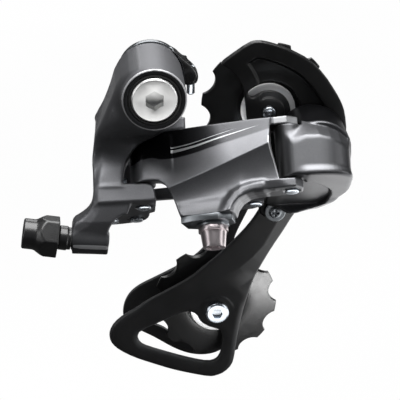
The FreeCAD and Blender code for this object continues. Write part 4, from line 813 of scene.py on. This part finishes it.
class Shader:
    """Material with a Principled surface and short calls for its nodes."""

    def __init__(self, name):
        self.material = bpy.data.materials.new(name)
        self.material.use_nodes = True
        self.tree = self.material.node_tree
        self.tree.nodes.clear()
        self.output = self.node("OutputMaterial")
        self.surface = self.node("BsdfPrincipled")
        self.put(self.output.inputs[0], self.out(self.surface))

    def node(self, kind, **settings):
        node = self.tree.nodes.new("ShaderNode" + kind)
        for key, value in settings.items():
            setattr(node, key, value)
        return node

    def out(self, node, key=0):
        return Value(self, node.outputs[key])

    def put(self, socket, value):
        """Link a Value, or set a number, vector or colour."""
        if isinstance(value, Value):
            self.tree.links.new(value.socket, socket)
        elif socket.type == "RGBA":
            socket.default_value = (*value, 1)
        else:
            socket.default_value = value

    def set(self, key, value):
        self.put(self.surface.inputs[key], value)

    def math(self, operation, *values):
        node = self.node("Math", operation=operation)
        for socket, value in zip(node.inputs, values):
            self.put(socket, value)
        return self.out(node)

    def coords(self, scale=(1.0, 1.0, 1.0)):
        """Object coordinates in metres."""
        source = self.node("TexCoord")
        mapping = self.node("Mapping")
        mapping.inputs["Scale"].default_value = scale
        self.put(mapping.inputs["Vector"], self.out(source, "Object"))
        return self.out(mapping, "Vector")

    def normal(self):
        return self.split(self.out(self.node("TexCoord"), "Normal"))

    def split(self, vector):
        node = self.node("SeparateXYZ")
        self.put(node.inputs[0], vector)
        return [self.out(node, i) for i in range(3)]

    def radius(self, x, z):
        return self.math("SQRT", x * x + z * z)

    def noise(self, vector, scale, detail=3.0, rough=0.5):
        node = self.node("TexNoise")
        node.inputs["Scale"].default_value = scale
        node.inputs["Detail"].default_value = detail
        node.inputs["Roughness"].default_value = rough
        self.put(node.inputs["Vector"], vector)
        return self.out(node, "Fac")

    def bands(self, value, frequency):
        """Noise that varies along one value only."""
        node = self.node("CombineXYZ")
        self.put(node.inputs[0], value * frequency)
        return self.noise(self.out(node), scale=1.0, detail=3.0, rough=0.7)

    def ramp(self, value, *stops):
        """Colour ramp; each stop is (position, grey or colour)."""
        node = self.node("ValToRGB")
        elements = node.color_ramp.elements
        while len(elements) < len(stops):
            elements.new(0.5)
        for element, (position, colour) in zip(elements, stops):
            if not isinstance(colour, tuple):
                colour = (colour,) * 3
            element.position = position
            element.color = (*colour, 1)
        self.put(node.inputs[0], value)
        return self.out(node)

    def mix(self, share, first, second, mode="MIX"):
        """Mix two colours."""
        node = self.node("Mix", data_type="RGBA", blend_type=mode)
        for index, value in ((0, share), (6, first), (7, second)):
            self.put(node.inputs[index], value)
        return self.out(node, 2)

    def tint(self, colour, factor):
        return self.mix(1.0, colour, factor, "MULTIPLY")

    def mix_number(self, share, first, second):
        node = self.node("Mix", data_type="FLOAT")
        for index, value in ((0, share), (2, first), (3, second)):
            self.put(node.inputs[index], value)
        return self.out(node)

    def bump(self, height, strength, distance, normal=None):
        node = self.node("Bump")
        node.inputs["Strength"].default_value = strength
        node.inputs["Distance"].default_value = distance
        self.put(node.inputs["Height"], height)
        if normal is not None:
            self.put(node.inputs["Normal"], normal)
        return self.out(node)

    def pointed(self, *stops):
        """Ramp over pointiness: high on convex edges, low in creases."""
        return self.ramp(self.out(self.node("NewGeometry"), "Pointiness"), *stops)

    def project(self, vector, direction, offset):
        """Distance in mm along a direction, plus an offset."""
        node = self.node("VectorMath", operation="DOT_PRODUCT")
        self.put(node.inputs[0], vector)
        node.inputs[1].default_value = direction
        return self.out(node, "Value") * 1000.0 + offset

    def curve(self, value, stations, heights, x_start, x_span, y_start, y_span):
        """Float curve through the stations, scaled to 0..1 both ways."""
        node = self.node("FloatCurve")
        points = [((x - x_start) / x_span, (y - y_start) / y_span)
                  for x, y in zip(stations, heights)]
        line = node.mapping.curves[0].points
        line[0].location = points[0]
        line[1].location = points[-1]
        for point in points[1:-1]:
            line.new(*point)
        node.mapping.update()
        self.put(node.inputs["Value"], (value + -x_start) / x_span)
        return self.out(node)


# ---------------------------------------------------------------------------
# Materials
# ---------------------------------------------------------------------------
def cast_paint(name, detail=None, rough_base=0.33, coat=0.15):
    """Satin metallic paint over a casting; `detail` adds a piece's own colouring and its painted
    light and shade.
    """
    shader = Shader(name)
    place = shader.coords()
    flake = shader.noise(place, scale=5200.0, detail=2.0, rough=0.6)
    mottle = shader.noise(place, scale=60.0, detail=4.0, rough=0.55)
    base = shader.ramp(mottle, (0.3, (0.178, 0.180, 0.190)), (0.7, (0.200, 0.202, 0.213)))
    colour = shader.tint(base, shader.ramp(flake, (0.35, 0.86), (0.75, 1.16)))
    wear = (shader.pointed((0.54, 0.0), (0.64, 1.0))
            * shader.ramp(shader.noise(place, scale=900.0), (0.45, 0.0), (0.7, 1.0)))
    colour = shader.mix(wear * 0.35, colour, (0.45, 0.45, 0.46))
    rough = rough_base + shader.noise(place, scale=140.0) * 0.10
    if detail:
        colour, rough = detail(shader, place, colour, rough)
    shader.set("Base Color", colour)
    shader.set("Roughness", rough)
    shader.set("Metallic", 0.86)
    shader.set("Coat Weight", coat)
    shader.set("Coat Roughness", 0.25)
    peel = shader.noise(place, scale=1400.0, detail=2.0)
    fine = shader.noise(place, scale=7000.0, detail=1.0)
    relief = shader.bump(peel, strength=0.10, distance=0.00008)
    shader.set("Normal", shader.bump(fine, strength=0.06, distance=0.00003, normal=relief))
    return shader.material


def lower_detail(shader, place, colour, rough):
    """Painted highlight on faces turned up, painted shade on the sides, darker below z = -46 mm, a
    painted shadow next to the link, the drum behind the block painted near black as shade.
    """
    # painted highlight and shade: faces turned up lighter, the sides darker
    up = shader.normal()[2]
    x, _, z = shader.split(place)
    tone = shader.ramp(up, (0.72, 0.60), (0.93, 1.25))
    # painted shadow next to the link: darker for x under about 47 mm
    gap = shader.ramp((x - 0.0440) * 200.0, (0.0, 0.12), (0.55, 1.0))
    # darker below z = -46 mm
    tone = shader.mix_number(z < -0.046, tone, 0.62)
    colour = shader.tint(colour, tone * gap)
    _, y, z = shader.split(place)
    # painted shade: the drum behind the block, above z = -36 mm, painted near black
    cover = (y > -0.0154) * (z > -0.0362)
    return shader.mix(cover * 0.97, colour, (0.010, 0.010, 0.012)), rough


def upper_detail(shader, place, colour, rough):
    """Painted shade towards the adjuster foot, a painted highlight round the outer end's corner
    with painted shade on its face, turning marks round the barrel.
    """
    # painted shade: darker from z = -34 mm down to z = -54 mm, towards the adjuster foot
    down = shader.math("MULTIPLY_ADD", shader.split(place)[2], -50.0, -1.7)
    colour = shader.tint(colour, shader.ramp(down, (0.0, 1.0), (1.0, 0.52)))
    x, y, z = [axis * 1000.0 for axis in shader.split(place)]
    radius = shader.radius(x, z)
    # the outer end: a painted highlight round its corner and painted shade on its face
    end = y < -29.0
    corner = end * (radius > 10.45)
    face = end * (radius < 10.45)
    colour = shader.mix(corner * 0.85, colour, (0.78, 0.78, 0.80))
    colour = shader.mix(face * 0.75, colour, (0.012, 0.012, 0.013))
    marks = shader.bands(y, frequency=5.0)
    return colour, rough + marks * (radius < 11.2) * 0.16


def link_axis(along, off):
    """Unit direction in the link frame and its offset from the B pin, in mm."""
    origin = link_point(0, 0)
    direction = link_point(along, off) - origin
    return tuple(direction), float(-(direction @ origin))


# The link's outer edge at the P end, where a highlight is painted: height, then along.
HIGHLIGHT_EDGE = ([-50.0, -46.6, -43.0, -38.0, -30.5, -26.9, -20.0],
                 [50.2, 50.0, 49.6, 48.7, 47.4, 47.5, 48.2])


def link_detail(shader, place, colour, rough):
    """Black upper field with two pinstripes, a pale tab and a painted highlight along the end
    edge.
    """
    along = shader.project(place, *link_axis(1, 0))
    height = shader.project(place, (0.0, SIN_TILT, COS_TILT), 0.0)
    off = shader.project(place, *link_axis(0, 1))
    crease = shader.curve(along, *UPPER_CREASE, x_start=-6, x_span=60.0,
                          y_start=-40, y_span=20.0) * 20.0 - 40.0
    over = height - crease
    outward = shader.math("MAXIMUM", off * -1.0, 7.0 - along)
    outside = shader.ramp(shader.math("MULTIPLY_ADD", outward, 0.5, -1.2),
                          (0.0, 0.0), (0.4, 1.0))
    field = shader.ramp(shader.math("MULTIPLY_ADD", over, 1.6, 0.25), (0.0, 0.0), (1.0, 1.0))
    field = field * outside
    # black lacquer that fades to clear towards the P end
    fade = shader.ramp(along / 55.0, (0.0, 1.0), (0.28, 0.95), (0.62, 0.45), (0.9, 0.22))
    black = field * fade
    colour = shader.mix(black, colour, (0.006, 0.006, 0.007))
    rough = shader.mix_number(black, rough, 0.16)

    # pinstripes: height over the crease, along where they taper out, taper
    centres = [shader.math("ABSOLUTE", over - rise) for rise in (2.6, 4.0)]
    stripes = [centre < (tip - along) * taper
               for centre, tip, taper in zip(centres, (44.0, 36.0), (0.0165, 0.010))]
    span = (along > 12.0) * (along < 44.0)
    stripe = shader.math("MAXIMUM", *stripes) * (span * outside)
    colour = shader.mix(stripe, colour, (0.72, 0.73, 0.74))
    rough = shader.mix_number(stripe, rough, 0.35)

    tab = (along > 49.2) * (height > -24.5)
    colour = shader.mix(tab * 0.30, colour, (0.70, 0.71, 0.72))
    # painted highlight: a thin bright line along the outer edge at the P end
    edge = shader.curve(height, *HIGHLIGHT_EDGE, x_start=-50.0, x_span=30.0,
                        y_start=45.0, y_span=6.0) * 6.0 + 45.0
    edge_highlight = (along > edge - 0.35) * (height < -27.5) * (height > -43.2) * (along < 49.9)
    return shader.mix(edge_highlight * 0.8, colour, (0.85, 0.86, 0.88)), rough


def cage_detail(shader, place, colour):
    """Deep black on the guard, lighter down the cage, and a painted highlight on faces turned to
    +X low on the cage.
    """
    z = shader.split(place)[2]
    deep = shader.ramp(shader.math("MULTIPLY_ADD", z, 33.0, 1.55), (0.0, 1.0), (1.0, 0.28))
    colour = shader.tint(colour, deep)
    # painted highlight: faces turned to +X lightened, fading in from 40 mm down
    turned = shader.ramp(shader.normal()[0], (0.10, 0.0), (0.34, 1.0))
    below = shader.ramp(shader.math("MULTIPLY_ADD", z, -60.0, -2.4), (0.0, 0.0), (1.0, 1.0))
    return shader.mix(turned * below, colour, (0.085, 0.087, 0.090))


def disc_detail(shader, place, colour):
    """Bare steel disc round the inner end of the barrel."""
    x, _, z = shader.split(place)
    steel = shader.radius(x, z) < 0.01165
    colour = shader.mix(steel, colour, (0.20, 0.21, 0.22))
    shader.set("Metallic", steel * 0.9)
    return colour


def plate_paint(name, tone, specular, rough_base, detail=None):
    """Satin black coat on pressed plate."""
    shader = Shader(name)
    place = shader.coords()
    mottle = shader.noise(place, scale=90.0, detail=4.0)
    colour = shader.ramp(mottle, (0.3, (tone * 0.85, tone * 0.85, tone * 0.88)),
                         (0.7, (tone * 1.2, tone * 1.2, tone * 1.24)))
    wear = (shader.pointed((0.54, 0.0), (0.62, 1.0))
            * shader.ramp(shader.noise(place, scale=700.0), (0.5, 0.0), (0.75, 1.0)))
    colour = shader.mix(wear * 0.4, colour, (0.25, 0.25, 0.26))
    if detail:
        colour = detail(shader, place, colour)
    shader.set("Base Color", colour)
    shader.set("Roughness", rough_base + shader.noise(place, scale=220.0) * 0.12)
    shader.set("Specular IOR Level", specular)
    grain = shader.noise(place, scale=1800.0, detail=2.0)
    shader.set("Normal", shader.bump(grain, strength=0.16, distance=0.0001))
    return shader.material


def moulded(name, tone, rough_base):
    """Moulded plastic: faint flow mottling and a fine texture."""
    shader = Shader(name)
    place = shader.coords()
    flow = shader.noise(shader.coords((1.0, 0.3, 1.0)), scale=120.0, detail=5.0, rough=0.6)
    colour = shader.ramp(flow, (0.3, tone * 0.8), (0.7, (tone * 1.3, tone * 1.3, tone * 1.35)))
    shader.set("Base Color", colour)
    shader.set("Roughness", rough_base + shader.noise(place, scale=300.0) * 0.15)
    shader.set("Specular IOR Level", 0.5)
    grain = shader.noise(place, scale=2600.0, detail=2.0)
    shader.set("Normal", shader.bump(grain, strength=0.22, distance=0.00012))
    return shader.material


TURNING_CENTRE = (0.0, 0.0)  # (x, z) of the turned rings


def plated(name, light, dark, rough_base, metallic=1.0, turned=False):
    """Plated metal clouded between two colours; `turned` adds rings about Y."""
    shader = Shader(name)
    place = shader.coords()
    cloud = shader.noise(place, scale=160.0)
    colour = shader.ramp(cloud, (0.35, dark), (0.65, light))
    # painted shade: the base colour darkened by up to half in concave creases
    creases = shader.pointed((0.40, 1.0), (0.48, 0.0))
    shader.set("Base Color", shader.tint(colour, 1.0 - creases * 0.5))
    shader.set("Roughness", rough_base + shader.noise(place, scale=600.0) * 0.14)
    shader.set("Metallic", metallic)
    grain = shader.noise(place, scale=1500.0)
    relief = shader.bump(grain, strength=0.07 if turned else 0.02, distance=0.00005)
    if turned:
        x, _, z = shader.split(place)
        radius = shader.radius(x - TURNING_CENTRE[0], z - TURNING_CENTRE[1])
        rings = shader.bands(radius, frequency=9000.0)
        relief = shader.bump(rings, strength=0.35, distance=0.00006, normal=relief)
        shader.set("Anisotropic", 0.55)
        tangent = shader.node("Tangent", direction_type="RADIAL", axis="Y")
        shader.set("Tangent", shader.out(tangent))
    shader.set("Normal", relief)
    return shader


def cap_steel(name):
    """Bright steel on the rolled rim of each pulley cap, black inside it."""
    metallic = 0.45
    rim_start, rim_full = 0.0068, 0.0074
    shader = plated(name, light=(0.88, 0.88, 0.88), dark=(0.82, 0.82, 0.83), rough_base=0.42,
                    metallic=metallic)
    x, _, z = shader.split(shader.coords())
    radii = [shader.radius(x - centre[0] * MM, z - centre[1] * MM) for centre in (GUIDE, TENSION)]
    near = shader.math("MINIMUM", *radii)
    rim = shader.ramp((near - rim_start) / (rim_full - rim_start), (0.0, 0.0), (1.0, 1.0))
    steel = Value(shader, shader.surface.inputs["Base Color"].links[0].from_socket)
    shader.set("Base Color", shader.mix(rim, (0.008, 0.008, 0.008), steel))
    shader.set("Metallic", rim * metallic)
    shader.set("Specular IOR Level", shader.math("MULTIPLY_ADD", rim, 0.3, 0.12))
    return shader.material


def rubber(name):
    shader = Shader(name)
    place = shader.coords()
    mottle = shader.noise(place, scale=300.0, detail=4.0)
    shader.set("Base Color", shader.ramp(mottle, (0.3, 0.006), (0.7, 0.012)))
    shader.set("Roughness", 0.6)
    grain = shader.noise(place, scale=3000.0, detail=2.0)
    shader.set("Normal", shader.bump(grain, strength=0.3, distance=0.0001))
    return shader.material


CAST = cast_paint("cast_paint")
UPPER = cast_paint("cast_paint_body", upper_detail, rough_base=0.44, coat=0.05)
LOWER = cast_paint("cast_paint_lower", lower_detail)
LINK = cast_paint("cast_paint_link", link_detail)
CAGE = plate_paint("plate_black", tone=0.036, specular=0.5, rough_base=0.30, detail=cage_detail)
STOP = plate_paint("stop_plate_black", tone=0.014, specular=1.0, rough_base=0.20,
                   detail=disc_detail)
WHEEL = moulded("wheel_plastic", tone=0.010, rough_base=0.26)
KNOB = plate_paint("knob_black", tone=0.012, specular=1.0, rough_base=0.24)
ZINC = plated("zinc_steel", light=(0.66, 0.70, 0.74), dark=(0.58, 0.63, 0.69),
              rough_base=0.20).material
BOLT = plated("bolt_steel", light=(0.86, 0.86, 0.85), dark=(0.78, 0.78, 0.77),
              rough_base=0.26, turned=True).material
CLAMP = plated("clamp_steel", light=(0.62, 0.56, 0.57), dark=(0.58, 0.52, 0.53),
               rough_base=0.24).material
SPRING = plated("spring_steel", light=(0.30, 0.30, 0.31), dark=(0.24, 0.24, 0.25),
                rough_base=0.32).material
CAPS = cap_steel("cap_steel")
# darker copy of the zinc: painted shade on the cable clamp plate, its washer and the cage stop
# screw
SHADED_ZINC = plated("zinc_shaded", light=(0.34, 0.36, 0.38), dark=(0.28, 0.30, 0.32),
              rough_base=0.24).material
BRASS = plated("bush_brass", light=(0.60, 0.47, 0.26), dark=(0.48, 0.37, 0.20),
               rough_base=0.38).material
SEAL = rubber("seal_rubber")
SLOT_MATERIALS = {
    "cast_paint": CAST, "plate_black": CAGE, "wheel_plastic": WHEEL, "zinc_steel": ZINC,
    "bolt_steel": BOLT, "clamp_steel": CLAMP, "spring_steel": SPRING, "knob_black": KNOB,
    "seal_rubber": SEAL, "bush_brass": BRASS}

# ---------------------------------------------------------------------------
# CAD pieces: materials, bevels and split edges
# ---------------------------------------------------------------------------
slot_of = {part["node"]: part["material_slot"] for part in frame["record"]["subparts"]}
bodies = frame["record"]["behaviour"]["bodies"]
body_of = {node: body for body, nodes in bodies.items() for node in nodes}

# Bevel width in mm: pieces
BEVEL_GROUPS = {
    0.45: "inner_cage_plate",
    0.4: "inner_link",
    0.3: "cable_clamp_plate adjuster_knob",
    0.28: "guide_pulley tension_pulley",
    0.25: "adjuster_collar tension_pulley_bolt",
    0.2: "cage_stop_pin cage_axle",
    0.18: "mounting_bolt cable_fixing_bolt",
    0.15: "guide_pulley_bolt outer_link_b_pin inner_link_b_pin outer_link_p_pin inner_link_p_pin"
          " spring_anchor_pin limit_screw_high limit_screw_low b_angle_screw",
    0.12: "cable_clamp_washer"}
BEVELS = {name: width for width, names in BEVEL_GROUPS.items() for name in names.split()}


def set_material(item, material):
    item.data.materials.clear()
    item.data.materials.append(material)


def finish_cad_piece(name, item):
    material = SLOT_MATERIALS[slot_of[name]]
    if name.endswith("dust_caps"):
        material = CAPS
    # painted shade: the clamp pieces take the darker copy of the zinc
    if name in ("cable_clamp_plate", "cable_clamp_washer"):
        material = SHADED_ZINC
    set_material(item, material)
    polygons = item.data.polygons
    polygons.foreach_set("use_smooth", np.ones(len(polygons), bool))
    weld = item.modifiers.new("weld", "WELD")
    weld.merge_threshold = 0.000004
    if name in BEVELS:
        bevel = item.modifiers.new("bevel", "BEVEL")
        bevel.width = BEVELS[name] * MM
        bevel.segments = 3
        bevel.limit_method = "ANGLE"
        bevel.angle_limit = math.radians(28)
        bevel.use_clamp_overlap = True
        bevel.harden_normals = False
    split = item.modifiers.new("edges", "EDGE_SPLIT")
    split.split_angle = math.radians(32)
    split.use_edge_sharp = False


for name, item in NODES.items():
    finish_cad_piece(name, item)

# ---------------------------------------------------------------------------
# Detailed pieces that stand for CAD ones
# ---------------------------------------------------------------------------
# object, CAD node, field, low and high corner (mm), voxel (mm), material
DETAILED = [
    ("b_knuckle_casting", "b_knuckle", upper_knuckle, (-33, -33, -63), (14, 20, 14), 0.42, UPPER),
    ("outer_link_casting", "outer_link", outer_link, (-9, -39, -52), (54, 3, -8), 0.36, LINK),
    ("p_knuckle_casting", "p_knuckle", lower_knuckle, (36, -39, -61), (77, 2, -11), 0.42, LOWER),
    ("outer_cage_plate_pressing", "outer_cage_plate", outer_plate,
     (-19, -1.5, -131), (73, 7, 11), 0.42, CAGE),
    ("adjuster_knob_turned", "adjuster_knob", adjuster_knob,
     (-49, -34, -61), (-15, -16, -42), 0.30, KNOB),
    ("adjuster_collar_detent", "adjuster_collar", adjuster_collar,
     (-37, -31, -59), (-27, -19, -46), 0.25, KNOB),
    ("cage_stop_screw", "cage_stop_pin", stop_screw, (40, -6, -61), (50, 2, -51), 0.2, SHADED_ZINC),
    ("stop_plate_pressing", "b_stop_plate", stop_plate, (-15, -7, -15), (18, 1.5, 12), 0.36, STOP)]
VOXEL_SCALE = 1.0

for name, node, field, low, high, voxel, material in DETAILED:
    item = mesh_field(name, field, low, high, voxel * VOXEL_SCALE)
    set_material(item, material)
    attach(item, body_of[node])
    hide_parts(node)

# ---------------------------------------------------------------------------
# Floor and world (metres)
# ---------------------------------------------------------------------------
FLOOR_Z = -0.172
FLOOR_NEAR, FLOOR_BEND, FLOOR_TOP = -2.2, 1.3, 3.2  # y, y, z
FLOOR_HALF_WIDTH = 3.5
BEND_RADIUS, BEND_STEPS = 0.9, 12


def build_floor():
    """Flat sweep that curves up behind the product."""
    profile = [(FLOOR_NEAR, FLOOR_Z), (FLOOR_BEND, FLOOR_Z)]
    for i in range(1, BEND_STEPS + 1):
        turn = math.radians(90 * i / BEND_STEPS)
        profile.append((FLOOR_BEND + BEND_RADIUS * math.sin(turn),
                        FLOOR_Z + BEND_RADIUS * (1 - math.cos(turn))))
    profile.append((FLOOR_BEND + BEND_RADIUS, FLOOR_TOP))
    mesh = bpy.data.meshes.new("floor")
    points = [(x, y, z) for y, z in profile for x in (-FLOOR_HALF_WIDTH, FLOOR_HALF_WIDTH)]
    faces = [(2 * i, 2 * i + 1, 2 * i + 3, 2 * i + 2) for i in range(len(profile) - 1)]
    mesh.from_pydata(points, [], faces)
    for face in mesh.polygons:
        face.use_smooth = True
    return add_object("floor", mesh)


def floor_paint():
    """Near white to the camera; to the product, dark on one side and pale on the other."""
    shader = Shader("pale_floor")
    place = shader.coords()
    x, y, _ = shader.split(place)
    side = x * 1.6 + y * 1.6 + 0.42
    shader.set("Base Color", shader.ramp(side, (0.0, 0.025), (0.45, 0.07), (1.0, 0.45)))
    shader.set("Roughness", 0.9)
    shader.set("Specular IOR Level", 0.0)
    glow = shader.node("Emission")
    cloud = shader.noise(place, scale=3.0)
    shader.put(glow.inputs[0], shader.ramp(cloud, (0.3, 0.985), (0.7, 1.0)))
    rays = shader.node("LightPath")
    either = shader.node("MixShader")
    shader.put(either.inputs[0], shader.out(rays, "Is Camera Ray"))
    shader.put(either.inputs[1], shader.out(shader.surface))
    shader.put(either.inputs[2], shader.out(glow))
    shader.put(shader.output.inputs[0], shader.out(either))
    return shader.material


scene = bpy.context.scene
floor = build_floor()
set_material(floor, floor_paint())

world = bpy.data.worlds.new("studio")
scene.world = world
world.use_nodes = True
background = world.node_tree.nodes["Background"]
background.inputs["Color"].default_value = (0.93, 0.96, 1.0, 1)
background.inputs["Strength"].default_value = 0.10


# ---------------------------------------------------------------------------
# Lights (metres, watts)
# ---------------------------------------------------------------------------
def area_light(name, at, aim, size, power):
    light = bpy.data.lights.new(name, "AREA")
    light.shape = "RECTANGLE"
    light.size, light.size_y = size
    light.energy = power
    item = add_object(name, light)
    item.location = at
    item.rotation_euler = (Vector(aim) - Vector(at)).to_track_quat("-Z", "Y").to_euler()
    item.visible_camera = False
    return item


def light_only(light, name, materials):
    """Limit a light to the pieces that wear one of the materials."""
    group = bpy.data.collections.new(name)
    for item in bpy.data.objects:
        if item.type == "MESH" and item.data.materials and item.data.materials[0] in materials:
            group.objects.link(item)
    light.light_linking.receiver_collection = group


MIDDLE = (0.0, 0.0, -0.05)
area_light("top_box", at=(0.02, 0.02, 0.75), aim=(0.02, 0.02, -0.05), size=(0.95, 0.85),
           power=13.5)
area_light("back_box", at=(0.0, 0.95, 0.50), aim=(0.0, 0.0, -0.03), size=(0.50, 0.50), power=2.2)
area_light("left_box", at=(-0.85, -0.35, 0.25), aim=MIDDLE, size=(0.22, 0.8), power=1.1)
area_light("right_box", at=(0.85, -0.20, 0.15), aim=MIDDLE, size=(0.25, 0.8), power=1.2)
area_light("low_right", at=(0.215, 0.03, -0.14), aim=(0.215, 0.03, 0.4), size=(0.29, 0.44),
           power=0.52)


def low_card(name, z, power):
    """Card on the camera's side, just above the floor, facing up."""
    return area_light(name, at=(0.03, -0.24, z), aim=(0.03, -0.20, 0.4), size=(0.44, 0.34),
                      power=power)


light_only(low_card("low_front", z=-0.142, power=0.55), "bright_metal", (ZINC, BOLT, CLAMP, CAPS))
wheel_card = area_light("wheel_side", at=(0.115, -0.125, -0.143), aim=(0.035, 0.0, -0.10),
                        size=(0.12, 0.10), power=0.60)
light_only(wheel_card, "moulded_wheels", (WHEEL,))
light_only(low_card("low_front_small", z=-0.140, power=0.40), "small_zinc", (ZINC, CAPS))
light_only(low_card("low_front_rims", z=-0.138, power=1.5), "cap_rims", (CAPS,))

# ---------------------------------------------------------------------------
# Camera: looks along +Y, turned slightly to +X and down
# ---------------------------------------------------------------------------
CAMERA_TURN, CAMERA_DROP = math.radians(-4.7), math.radians(25.5)
camera = bpy.data.cameras.new("cam")
camera.sensor_width = 36.0
camera.lens = 130.5
camera.clip_start = 0.01
viewer = add_object("cam", camera)
view = Vector((-math.sin(CAMERA_TURN) * math.cos(CAMERA_DROP),
               math.cos(CAMERA_TURN) * math.cos(CAMERA_DROP), -math.sin(CAMERA_DROP)))
right = Vector((math.cos(CAMERA_TURN), math.sin(CAMERA_TURN), 0.0))
rotation = Matrix((right, right.cross(view), -view)).transposed().to_4x4()
viewer.matrix_world = Matrix.Translation(Vector((-0.021827, -0.480182, 0.178295))) @ rotation
scene.camera = viewer
scene.view_settings.view_transform = "Standard"
scene.view_settings.look = "None"
